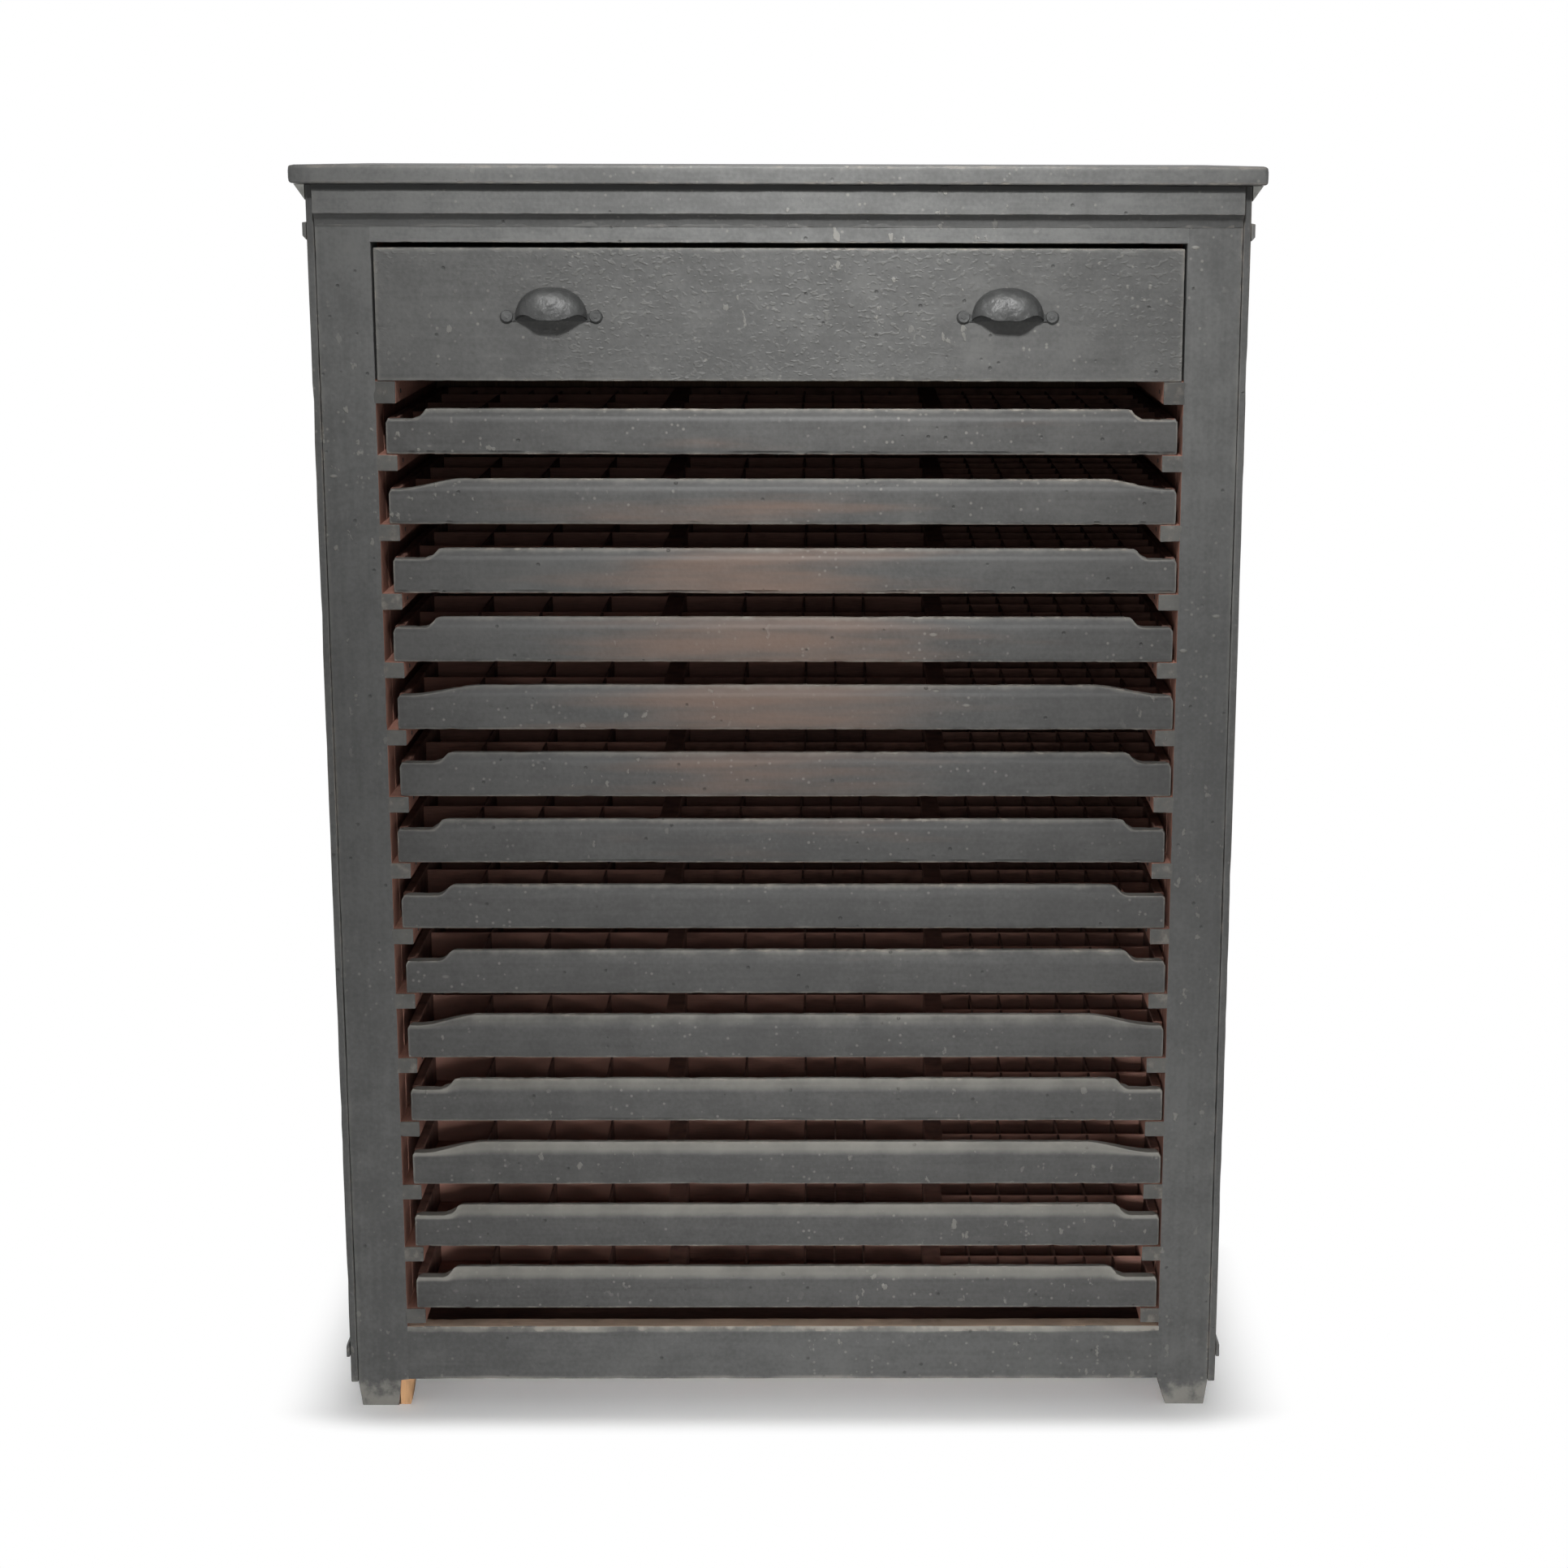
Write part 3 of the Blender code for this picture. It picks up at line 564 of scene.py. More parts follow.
def ease(form, width, segments=2):
    """Rounds the sharp edges, and marks their points as worn."""
    edges = [edge for edge in form.edges if len(edge.link_faces) == 2 and edge.calc_face_angle() > SHARP]
    layer = form.verts.layers.float[WEAR]
    for vertex in bevel(form, edges, width, segments, clamp_overlap=True):
        vertex[layer] = 1.0


def chip(form, depth, pitch=95.0):
    """Dents the worn points inwards where a fine noise is high, and less so where a broad one is."""
    rare = 0.18
    broad_pitch = 0.21
    broad_share = 0.35
    layer = form.verts.layers.float[WEAR]
    form.normal_update()
    for vertex in form.verts:
        if vertex[layer] > 0.5:
            fine = max(0.0, noise.noise(vertex.co * pitch) - rare)
            broad = max(0.0, noise.noise(vertex.co * pitch * broad_pitch))
            vertex.co -= vertex.normal * depth * (fine + broad * broad_share)


def add_piece(name, form, finishes, body, nodes=()):
    """Makes a piece of a form, and puts it on a body in place of the nodes."""
    mesh = bpy.data.meshes.new(name)
    form.to_mesh(mesh)
    form.free()
    for spare in ("custom_normal", "sharp_face", "sharp_edge"):
        if spare in mesh.attributes:
            mesh.attributes.remove(mesh.attributes[spare])
    for finish in finishes:
        mesh.materials.append(FINISHES[finish])
    mesh.shade_smooth()
    mesh.set_sharp_from_angle(angle=SMOOTH)
    piece = bpy.data.objects.new(name, mesh)
    bpy.context.scene.collection.objects.link(piece)
    modifier = piece.modifiers.new("flat faces", "WEIGHTED_NORMAL")
    modifier.keep_sharp = True
    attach(piece, body)
    if nodes:
        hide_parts(*nodes)
    return piece


def paint_sides(form, direction, index, least=0.9):
    """Gives the faces that look in a direction another of the piece's finishes."""
    direction = Vector(direction)
    form.normal_update()
    for face in form.faces:
        if face.normal.dot(direction) > least:
            face.material_index = index


def hold_within(form, node):
    """Brings points that an edge's rounding threw out of the node's box back to its faces."""
    low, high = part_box(node)
    for vertex in form.verts:
        for axis in range(3):
            vertex.co[axis] = min(max(vertex.co[axis], low[axis]), high[axis])


def worn_board(node, axis, fade=None, width=None, step=None):
    """An eased and chipped copy of a node's solid, with stations along an axis."""
    own = settings().boards
    form = solid_copy(node)
    add_fade(form, fade or own.fade)
    cut_stations(form, axis, step or own.station)
    ease(form, width or own.ease)
    chip(form, own.chip)
    hold_within(form, node)
    return form


def add_cone(form, matrix, radius, tip, depth, segments):
    bmesh.ops.create_cone(
        form, cap_ends=True, segments=segments, radius1=radius, radius2=tip, depth=depth, matrix=matrix
    )


def add_nail(form, place, direction, radius, proud):
    """A flat-domed nail head standing on a face."""
    sunk = 0.0004
    crown = 0.72
    turn = Vector(direction).to_track_quat("Z", "Y").to_matrix().to_4x4()
    matrix = Matrix.Translation(place) @ turn @ Matrix.Translation((0, 0, (proud - sunk) / 2))
    add_cone(form, matrix, radius, radius * crown, proud + sunk, segments=12)


def set_tone(form, law):
    """Gives each point the tone that a law makes of its place and its tone so far."""
    layer = form.verts.layers.float[TONE]
    for vertex in form.verts:
        vertex[layer] = law(vertex.co, vertex[layer])


def push_out(vertex, distance):
    """Moves a point sideways, away from the cabinet's middle or, below 0, towards it."""
    vertex.co.x += distance if vertex.co.x > 0 else -distance


def calm(form, chosen):
    """Takes most of the wear off chosen points, where pieces meet under one coat of paint."""
    left = 0.15
    layer = form.verts.layers.float[WEAR]
    for vertex in form.verts:
        if chosen(vertex.co):
            vertex[layer] *= left


def scuff(form, share):
    """Lightens a form's worn points in patches."""
    pitch = 21.0
    common = 0.35
    wear = form.verts.layers.float[WEAR]
    tone = form.verts.layers.float[TONE]
    for vertex in form.verts:
        vertex[tone] -= share * vertex[wear] * max(0.0, common + noise.noise(vertex.co * pitch))


def rub_top(form, top):
    """Wears a rail's upper part, more in some places along its length than in others."""
    reach = 0.009
    middle = 1.14
    swing = 0.4
    cut_across(form, 2, [top - 0.0025, top - 0.0050, top - reach])
    wear = form.verts.layers.float[WEAR]
    for vertex in form.verts:
        near = max(0.0, 1.0 - (top - vertex.co.z) / reach)
        broad = noise.noise((vertex.co.x * 13.0, 3.7, 0.0))
        fine = noise.noise((vertex.co.x * 55.0, 9.1, 0.0))
        vertex[wear] = max(vertex[wear], near**0.25 * (middle + swing * (broad + 0.6 * fine)))


def bury_ends(form):
    """Runs a form's ends into the posts, deep enough to hide their rounding."""
    hidden = 2.0 * settings().boards.ease
    for vertex in form.verts:
        if abs(vertex.co.x) > OPENING_X - BAND:
            push_out(vertex, hidden)


def slant_foot(form):
    """Cuts the inner side of a foot to a slant."""
    slant = 0.0065
    for vertex in form.verts:
        if vertex.co.z < FOOT_Z and abs(vertex.co.x) < OPENING_X + FOOT_INSIDE:
            push_out(vertex, slant * (1.0 - vertex.co.z / FOOT_Z))


def split_foot(form):
    """Takes the split inner side off the left front foot."""
    for vertex in form.verts:
        if vertex.co.z < FOOT_Z - FOOT_CUT / 2 and vertex.co.x > -OPENING_X - FOOT_INSIDE:
            vertex.co.x -= SPLIT


def foot_block():
    """The raw block that fills out the split foot, narrower at the floor, with painted shade towards its
    inner side.
    """
    reach = 0.0065
    taper = 0.0060
    hidden = 0.0050
    shade_reach = 0.012
    form = new_form()
    low = (-OPENING_X - SPLIT - hidden, FRONT_Y + 0.0012, 0.0006)
    high = (-OPENING_X + reach, FRONT_Y + 0.0200, FOOT_Z - SEAT)
    add_box(form, low, high)
    cut_stations(form, 2, step=0.004)
    cut_stations(form, 0, step=0.0016)
    ease(form, width=0.0010)
    chip(form, depth=0.0022, pitch=160.0)
    tone = form.verts.layers.float[TONE]
    for vertex in form.verts:
        if vertex.co.x > -OPENING_X - SPLIT:
            vertex.co.x -= taper * (1.0 - vertex.co.z / FOOT_Z)
        streak = noise.noise((vertex.co.x * 300.0, vertex.co.y * 300.0, vertex.co.z * 40.0))
        # painted shade that deepens towards the block's inner side
        dirt_and_shade = max(0.0, 1.0 - (high[0] - vertex.co.x) / shade_reach)
        vertex[tone] = 0.5 - 1.9 * dirt_and_shade + 1.2 * streak
    return form


def darken_midway(form):
    """Darkens a post most at one middle height, less above and below it."""
    reach = 0.38
    most = 0.26
    set_tone(form, lambda point, tone: tone + most * max(0.0, 1.0 - ((point.z - DARKEST_Z) / reach) ** 2))


def tone_front_edge(form, node):
    """Paints shade on the outer arris of a side board's front edge and on the shaded part beside the
    cornice, and darkens the rest of the front edge a little.
    """
    outer = max(abs(corner.x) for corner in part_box(node)) - 0.001
    shaded = CORNICE_Z - 0.02

    def law(point, tone):
        if point.y >= FRONT_Y + BAND:
            return tone
        if point.z > shaded:
            return 0.40
        return 0.60 if abs(point.x) > outer else 0.08

    set_tone(form, law)


class CABINET_OT_case(Operator):
    """Posts, rails, bottom board and side boards of the case"""

    bl_idname = "type_cabinet.case"
    bl_label = "Case"

    def execute(self, context):
        for side, sign in SIDES:
            for place in ("front", "rear"):
                node = f"post_{place}_{side}"
                form = worn_board(node, 2)
                calm(form, lambda point: abs(point.x) < OPENING_X + 0.010)
                paint_sides(form, (-sign, 0, 0), 1)
                # Beside the drawer the inner faces keep the charcoal paint, a painted shade for the dark
                # gap there.
                for face in form.faces:
                    if face.calc_center_median().z > DRAWER_Z:
                        face.material_index = 0
                darken_midway(form)
                cut_across(form, 2, [FOOT_Z, FOOT_Z - FOOT_CUT])
                if node == "post_front_left":
                    split_foot(form)
                else:
                    slant_foot(form)
                add_piece(f"{node}_worn", form, ("case_upright", "lining"), "cabinet", [node])
            node = f"side_board_{side}"
            form = worn_board(node, 2, step=0.02)
            tone_front_edge(form, node)
            add_piece(f"{node}_worn", form, ("case_upright",), "cabinet", [node])
        for level, coat, shown in (("top", "case_level", "wood_x"), ("bottom", "case_rail", "sill")):
            for place in ("front", "rear"):
                node = f"{level}_rail_{place}"
                form = worn_board(node, 0)
                calm(form, lambda point: abs(point.x) > OPENING_X - 0.010)
                bury_ends(form)
                paint_sides(form, (0, 1, 0), 1)
                if level == "bottom":
                    rub_top(form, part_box(node)[1].z)
                    scuff(form, 0.9)
                    paint_sides(form, (0, 0, 1), 2)
                add_piece(f"{node}_worn", form, (coat, "wood_x", shown), "cabinet", [node])
        add_piece("foot_block", foot_block(), ("raw",), "cabinet")
        form = worn_board("bottom_board", 0, step=0.03)
        add_piece("bottom_board_worn", form, ("wood_x",), "cabinet", ["bottom_board"])
        return {"FINISHED"}


class CABINET_OT_top(Operator):
    """Top board, cornice and the mouldings along the sides"""

    bl_idname = "type_cabinet.top"
    bl_label = "Top and mouldings"

    def execute(self, context):
        add_piece("top_board_worn", top_form(), ("case_level",), "cabinet", ["top_board"])
        add_piece("cornice_worn", cornice_form(), ("case_level",), "cabinet", ["cornice"])
        for strip in ("bed_mould", "side_moulding_upper", "side_moulding_lower"):
            for side, _ in SIDES:
                node = f"{strip}_{side}"
                form = worn_board(node, 1, fade=0.002, width=0.0008)
                if strip == "bed_mould":
                    # The bed moulds' front ends take the pale paint, part scraped paint, part painted
                    # highlight.
                    paint_sides(form, (0, -1, 0), 1, least=0.5)
                add_piece(f"{node}_worn", form, ("case_deep", "scuffed"), "cabinet", [node])
        return {"FINISHED"}


def cornice_form():
    """The cornice: its ends drawn in, a painted shadow under the top board and painted shade in the hollow
    below.
    """
    own = settings().boards
    drawn_in = 0.0085
    whole = 0.012
    fading = 0.004
    shaded = 0.005
    hollow = 0.0302
    form = solid_copy("cornice")
    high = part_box("cornice")[1]
    cut_across(form, 2, [high.z - drop for drop in (0.0045, 0.007, 0.015, 0.026)])
    cut_stations(form, 0, own.station)
    ease(form, width=0.0010)
    chip(form, own.chip)
    hold_within(form, "cornice")
    layer = form.verts.layers.float[TONE]
    for vertex in form.verts:
        end = high.x - abs(vertex.co.x)
        if end < whole + fading:
            push_out(vertex, -drawn_in * (1.0 - max(0.0, end - whole) / fading))
        # The tone paints a shadow under the top board and shade in the hollow below the fascia.
        below = high.z - vertex.co.z
        if below > hollow:
            vertex[layer] = 0.3 + 30.0 * (below - hollow)
        else:
            vertex[layer] = float(below < shaded)
    return form


def top_form():
    """The top board: round upright corners, and eased edges above and below."""
    own = settings().boards
    low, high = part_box("top_board")
    form = new_form()
    add_box(form, low, high)
    upright = [edge for edge in form.edges if edge.verts[0].co.xy == edge.verts[1].co.xy]
    bevel(form, upright, TOP_CORNER, segments=5)
    for axis in (0, 1):
        inner = (low[axis] + own.fade, high[axis] - own.fade)
        cut_across(form, axis, [*inner, *even_places(*inner, step=0.016)])
    cut_across(form, 2, [low.z + own.fade, high.z - own.fade])
    ease(form, width=0.0024, segments=3)
    for vertex in form.verts:
        deep = max(0.0, min(vertex.co.z - low.z, high.z - vertex.co.z))
        if deep < TOP_ROUND:
            limit = high.x - TOP_ROUND + sqrt(TOP_ROUND**2 - (TOP_ROUND - deep) ** 2)
            if abs(vertex.co.x) > high.x - TOP_ROUND:
                vertex.co.x = min(max(vertex.co.x, -limit), limit)
    chip(form, own.chip, pitch=70.0)
    hold_within(form, "top_board")
    return form


class CABINET_OT_back(Operator):
    """Back planks and their nails"""

    bl_idname = "type_cabinet.back"
    bl_label = "Back planks"

    def execute(self, context):
        low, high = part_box("back_planks")
        draw = random.Random(7)
        width = (high.x - low.x) / PLANKS
        form = new_form()
        nails = new_form()
        rails = [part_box(f"{level}_rail_rear") for level in ("bottom", "top")]
        heights = [(foot.z + top.z) / 2 for foot, top in rails]
        for plank in range(PLANKS):
            left = low.x + plank * width
            add_box(form, (left, low.y, low.z), (left + width, high.y, high.z), draw.uniform(-0.7, 0.8))
            for height in heights:
                for share in (0.22, 0.78):
                    across = left + width * (share + draw.uniform(-0.03, 0.03))
                    place = (across, high.y, height + draw.uniform(-0.01, 0.01))
                    add_nail(nails, place, (0, 1, 0), radius=0.0032, proud=0.0007)
        add_fade(form, settings().boards.fade)
        cut_stations(form, 2, step=0.04)
        ease(form, width=0.0022)
        chip(form, settings().boards.chip * 0.6)
        hold_within(form, "back_planks")
        add_piece("back_planks_worn", form, ("back",), "cabinet", ["back_planks"])
        add_piece("back_nails", nails, ("iron",), "cabinet")
        return {"FINISHED"}


def runner_tone(point, tone, front, tray_top):
    """Darkens the painted front ends of the runners, those of the drawer most."""
    if point.y >= front + BAND:
        return tone
    return 0.75 if point.z > tray_top + SEAT else 0.50


class CABINET_OT_runners(Operator):
    """Lining boards and the runners nailed to them"""

    bl_idname = "type_cabinet.runners"
    bl_label = "Runners"

    def execute(self, context):
        draw = random.Random(11)
        for side, sign in SIDES:
            node = f"runner_rack_{side}"
            low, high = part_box(node)
            face = OPENING_X - SEAT
            inner = min(abs(low.x), abs(high.x))
            outer = max(abs(low.x), abs(high.x))
            form = new_form()
            ends = sorted((sign * face, sign * outer))
            post = POST_BACK_Y - FRONT_Y + SEAT
            add_box(form, (ends[0], low.y + post, low.z), (ends[1], high.y - post, high.z))
            cut_stations(form, 2, step=0.05)
            ease(form, width=0.0008)
            add_piece(f"lining_{side}", form, ("lining",), "cabinet", [node])
            form = new_form()
            nails = new_form()
            tops = [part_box(f"tray_case_{tray}")[0].z - SEAT for tray in TRAYS]
            tops.append(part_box("drawer_front")[0].z - SEAT)
            ends = sorted((sign * inner, sign * (OPENING_X + RUNNER_SEAT)))
            for top in tops:
                tall = DRAWER_RUNNER_TALL if top == tops[-1] else RUNNER_TALL
                add_box(form, (ends[0], low.y, top - tall), (ends[1], high.y, top), draw.uniform(-0.3, 0.3))
                for share in (0.08, 0.5, 0.92):
                    along = low.y + (high.y - low.y) * share
                    place = (sign * inner, along, top - tall * draw.uniform(0.45, 0.6))
                    add_nail(nails, place, (-sign, 0, 0), radius=0.0028, proud=0.0005)
            cut_across(form, 1, [low.y + 0.004, high.y - 0.004])
            cut_stations(form, 1, step=0.02)
            ease(form, width=0.0012)
            chip(form, depth=0.0018, pitch=140.0)
            paint_sides(form, (0, -1, 0), 1, least=0.3)
            set_tone(form, lambda point, tone: runner_tone(point, tone, low.y, tops[0]))
            add_piece(f"runners_{side}", form, ("runner", "case_rail"), "cabinet")
            add_piece(f"runner_nails_{side}", nails, ("iron",), "cabinet")
        return {"FINISHED"}


class CABINET_OT_drawer(Operator):
    """The drawer's boards"""

    bl_idname = "type_cabinet.drawer"
    bl_label = "Drawer"

    def execute(self, context):
        node = "drawer_front"
        form = worn_board(node, 0)
        paint_sides(form, (0, 1, 0), 1)
        add_piece(f"{node}_worn", form, ("drawer", "drawer_x"), "drawer", [node])
        for board, axis, finish in (
            ("side_left", 1, "drawer_y"),
            ("side_right", 1, "drawer_y"),
            ("bottom", 0, "drawer_x"),
            ("back", 0, "drawer_x"),
        ):
            node = f"drawer_{board}"
            form = worn_board(node, axis, fade=0.003, width=0.0008, step=0.02)
            add_piece(f"{node}_worn", form, (finish,), "drawer", [node])
        return {"FINISHED"}


class CABINET_OT_pulls(Operator):
    """Cup pulls with their ears and screws"""

    bl_idname = "type_cabinet.pulls"
    bl_label = "Cup pulls"

    def execute(self, context):
        own = settings().pulls
        for side, _ in SIDES:
            node = f"cup_pull_{side}"
            low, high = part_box(node)
            ear = own.cup + own.margin + EAR_GAP
            mouth = high.z - own.tall - own.margin
            place = Vector(((low.x + high.x) / 2, high.y, mouth))
            form = new_form()
            add_cup(form, place, high.y - low.y, own)
            add_flange(form, place, own)
            for end in (-1, 1):
                add_ear(form, place + Vector((end * ear, 0, own.ear_rise)), end, own)
            add_piece(f"{node}_cast", form, ("iron",), "drawer", [node])
        return {"FINISHED"}


def add_cup(form, place, deep, own):
    """A hollow pillow-shaped cup whose lip dips in the middle and arches up on both sides of it."""
    wear = form.verts.layers.float[WEAR]
    tone = form.verts.layers.float[TONE]
    half = own.cup + own.margin
    tall = own.tall + own.margin
    cup = bmesh.ops.create_grid(form, x_segments=48, y_segments=20, size=1.0)["verts"]
    for vertex in cup:
        across = sin(vertex.co.x * pi / 2)
        share = (vertex.co.y + 1.0) / 2
        top = max(0.0, 1.0 - abs(across) ** CUP_POWER) ** (1 / CUP_POWER)
        bow = smooth((abs(across) - 0.25) / 0.5)
        lip = (own.dip + own.arch * bow) / tall * min(1.0, top * 1.5)
        up = min(lip, top) + (top - min(lip, top)) * share
        reach = min(1.0, sqrt(across**2 + up**2 * (1.0 - across**2) / max(top**2, 1e-6)))
        swell = max(0.0, 1.0 - reach**3) ** 0.6
        # lit paints highlight on the cup's upper part and shade towards the lip, in both the wear and the
        # tone.
        lit = 0.05 + 0.95 * min(1.0, share / 0.7)
        vertex[wear] = swell * lit
        vertex[tone] = clamp((0.90 - reach) / 0.16) * lit
        vertex.co = (place.x + half * across, place.y - deep * swell, place.z + tall * up)
        lump = sum(noise.noise(vertex.co * pitch) * height for pitch, height in CAST_LUMPS)
        vertex.co += Vector((0, lump, lump * 0.6)) * swell
    bmesh.ops.remove_doubles(form, verts=form.verts, dist=0.00005)
    bmesh.ops.recalc_face_normals(form, faces=form.faces)
    if sum(face.normal.y * face.calc_area() for face in form.faces) > 0:
        bmesh.ops.reverse_faces(form, faces=form.faces)
    bmesh.ops.solidify(form, geom=form.faces[:], thickness=own.wall)


def add_flange(form, place, own):
    """The flat rim that the cup stands on, round above and cut off level at the mouth."""
    before = set(form.faces)
    half = own.cup + own.margin + FLANGE_REACH
    tall = own.tall + own.margin
    outline = []
    for step in range(FLANGE_STEPS + 1):
        turn = pi * step / FLANGE_STEPS
        across = copysign(abs(cos(turn)) ** FLANGE_POWER, cos(turn))
        outline.append(form.verts.new(place + Vector((half * across, -own.flange, tall * sin(turn)))))
    grown = bmesh.ops.extrude_face_region(form, geom=[form.faces.new(outline)])
    moved = [item for item in grown["geom"] if isinstance(item, bmesh.types.BMVert)]
    bmesh.ops.translate(form, vec=(0, own.flange, 0), verts=moved)
    bmesh.ops.recalc_face_normals(form, faces=[face for face in form.faces if face not in before])
    front = [
        edge
        for edge in form.edges
        if not before.intersection(edge.link_faces)
        and edge.calc_face_angle() > radians(60)
        and all(vertex.co.y < place.y - own.flange / 2 for vertex in edge.verts)
    ]
    bevel(form, front, FLANGE_EASE, segments=2)


def add_ear(form, place, end, own):
    """A round ear on a short neck, and the painted-over screw in it."""
    before = set(form.verts)
    stand = Matrix.Rotation(radians(90), 4, "X")
    neck = own.ear + 0.0030
    low = (min(place.x, place.x - end * neck), place.y - own.flange, place.z - own.ear_rise)
    high = (max(place.x, place.x - end * neck), place.y, place.z + own.ear * 0.5)
    add_box(form, low, high)
    for radius, tip, proud in ((own.ear, 0.80, 2.2), (own.screw, 0.70, 2.5)):
        depth = own.flange * proud
        matrix = Matrix.Translation(place - Vector((0, depth / 2, 0))) @ stand
        add_cone(form, matrix, radius, radius * tip, depth, segments=28)
    # Tone 1 on the raised tops and 0 at their bases paints shade round the ear's and the screw's lower
    # rims.
    tone = form.verts.layers.float[TONE]
    for vertex in form.verts:
        if vertex not in before:
            raised = vertex.co.y < place.y - own.flange * 1.5
            vertex[tone] = float(raised)
            if raised:
                vertex.co += Vector((-end * 0.0005, 0, 0.0011))


class CABINET_OT_tray_fronts(Operator):
    """The trays' shaped fronts"""

    bl_idname = "type_cabinet.tray_fronts"
    bl_label = "Tray fronts"

    def execute(self, context):
        own = settings()
        draw = random.Random(31)
        blank = front_blank()
        for tray in TRAYS:
            node = f"tray_front_{tray}"
            form = blank.copy()
            shape_front(form, node, tray in RAMPED_TRAYS, draw)
            # The slope's tone is scaled to paint shade on the upper trays' slopes and highlight on the
            # lower trays' slopes; the second term darkens the fronts most about the seventh tray.
            pale = 0.30 - 0.98 * clamp((int(tray) - 6) / 6)
            midway_dark = 0.16 * max(0.0, 1.0 - abs(int(tray) - 7) / 4)
            set_tone(form, lambda point, tone: tone * pale + midway_dark)
            ease(form, own.boards.ease)
            chip(form, own.boards.chip)
            hold_within(form, node)
            paint_sides(form, (0, 1, 0), 1)
            paint_sides(form, (0, 0, -1), 1)
            add_piece(f"{node}_worn", form, ("tray", "wood_x"), f"tray_{tray}", [node])
        blank.free()
        return {"FINISHED"}


def front_blank():
    """A plain board of the first tray front's size, cut where the fronts are shaped."""
    own = settings().fronts
    low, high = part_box("tray_front_01")
    form = new_form()
    add_box(form, low, high)
    curved = own.ramp_shoulder + own.ramp + 0.008
    fine = 0.003
    ends = even_places(low.x, low.x + curved, fine) + even_places(high.x - curved, high.x, fine)
    cut_across(form, 0, ends + even_places(low.x + curved, high.x - curved, step=0.009))
    side = low.z + own.side
    levels = [side + own.turn * share for share in (-1.0, -0.5, 0.0, 0.5, 1.0)]
    cut_across(form, 2, [low.z + own.round, side - 2.0 * own.turn] + levels)
    # Tone 1 on the slope and 0 on the face, for the painted shade on the upper trays' slopes and the
    # painted highlight on the lower ones.
    layer = form.verts.layers.float[TONE]
    for vertex in form.verts:
        vertex[layer] = clamp((vertex.co.z - side) / (2.0 * own.turn) + 0.5)
        if vertex.co.z < low.z + WELD and vertex.co.y < low.y + WELD:
            vertex.co.y += own.round * 0.5
    return form


def shape_front(form, node, ramped, draw):
    """Lowers a blank's ends by a curve, and leans what stands over them back."""
    own = settings().fronts
    low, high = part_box(node)
    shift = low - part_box("tray_front_01")[0]
    side = low.z + own.side
    squeezed = side - 2.0 * own.turn
    ends = []
    for _ in SIDES:
        spread = draw.uniform(0.85, 1.15)
        shoulder = (own.ramp_shoulder if ramped else own.shoulder) * spread
        step = (own.ramp if ramped else own.step) * draw.uniform(0.9, 1.12)
        ends.append((shoulder, step, draw.uniform(0.0015, 0.0055)))
    wave = draw.uniform(0.0, 50.0)
    for vertex in form.verts:
        vertex.co += shift
        near = max(0.0, min(vertex.co.x - low.x, high.x - vertex.co.x))
        shoulder, step, corner = ends[vertex.co.x > (low.x + high.x) / 2]
        curve = smooth((near - shoulder) / step)
        if not ramped:
            curve = smooth(curve)
        top = side + (high.z - side) * curve + noise.noise((vertex.co.x * 9.0, wave, 0.0)) * 0.0004
        if near < corner:
            top -= corner - sqrt(corner**2 - (corner - near) ** 2)
        if vertex.co.z > squeezed:
            vertex.co.z = squeezed + (vertex.co.z - squeezed) * (top - squeezed) / (high.z - squeezed)
        if vertex.co.y < (low.y + high.y) / 2:
            over = vertex.co.z - side
            if abs(over) < own.turn:
                over = (over + own.turn) ** 2 / (4.0 * own.turn)
            vertex.co.y += own.slope * clamp(over / own.rise)


class CABINET_OT_tray_cases(Operator):
    """The trays' floors, walls, bars and dividers"""

    bl_idname = "type_cabinet.tray_cases"
    bl_label = "Tray cases"

    def execute(self, context):
        low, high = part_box("tray_case_01")
        walls = tray_walls(low, high)
        lattice = tray_lattice(low, high)
        for tray in TRAYS:
            node = f"tray_case_{tray}"
            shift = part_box(node)[0] - low
            # Painted light lifts the lower trays' insides and painted shade darkens the upper ones.
            lift = 0.4 if int(tray) > SHADED_TRAYS else -0.3
            for name, form, nodes in (
                (f"{node}_walls", walls.copy(), [node]),
                (f"tray_dividers_{tray}", lattice.copy(), []),
            ):
                bmesh.ops.translate(form, vec=shift, verts=form.verts)
                set_tone(form, lambda point, tone: tone + lift)
                add_piece(name, form, ("wood_x",), f"tray_{tray}", nodes)
        walls.free()
        lattice.free()
        return {"FINISHED"}


def tray_bays(low, high):
    """Left and right limits of the three bays."""
    own = settings().trays
    left = low.x + own.wall
    right = high.x - own.wall
    wide = (right - left - 2 * own.bar - own.right_bay) / 2
    middle = left + wide + own.bar
    return ((left, left + wide), (middle, left + 2 * wide + own.bar), (right - own.right_bay, right))


def tray_walls(low, high):
    """Floor, sides, back and the two heavy bars."""
    own = settings().trays
    form = new_form()
    bays = tray_bays(low, high)
    base = low.z + own.floor
    left = low.x + own.wall
    right = high.x - own.wall
    back = high.y - own.wall
    add_box(form, (left, low.y, low.z), (right, back, base))
    # The tones under 0 paint shade on the sides, back and bars.
    add_box(form, low, (left, high.y, high.z), tone=-1.5)
    add_box(form, (right, low.y, low.z), high, tone=-1.5)
    add_box(form, (left, back, low.z), (right, high.y, high.z), tone=-0.3)
    for bay, after in zip(bays, bays[1:]):
        add_box(form, (bay[1], low.y, base), (after[0], back, high.z), tone=-0.6)
    cut_stations(form, 1, step=0.03)
    ease(form, width=0.0009, segments=1)
    chip(form, depth=0.001)
    return form


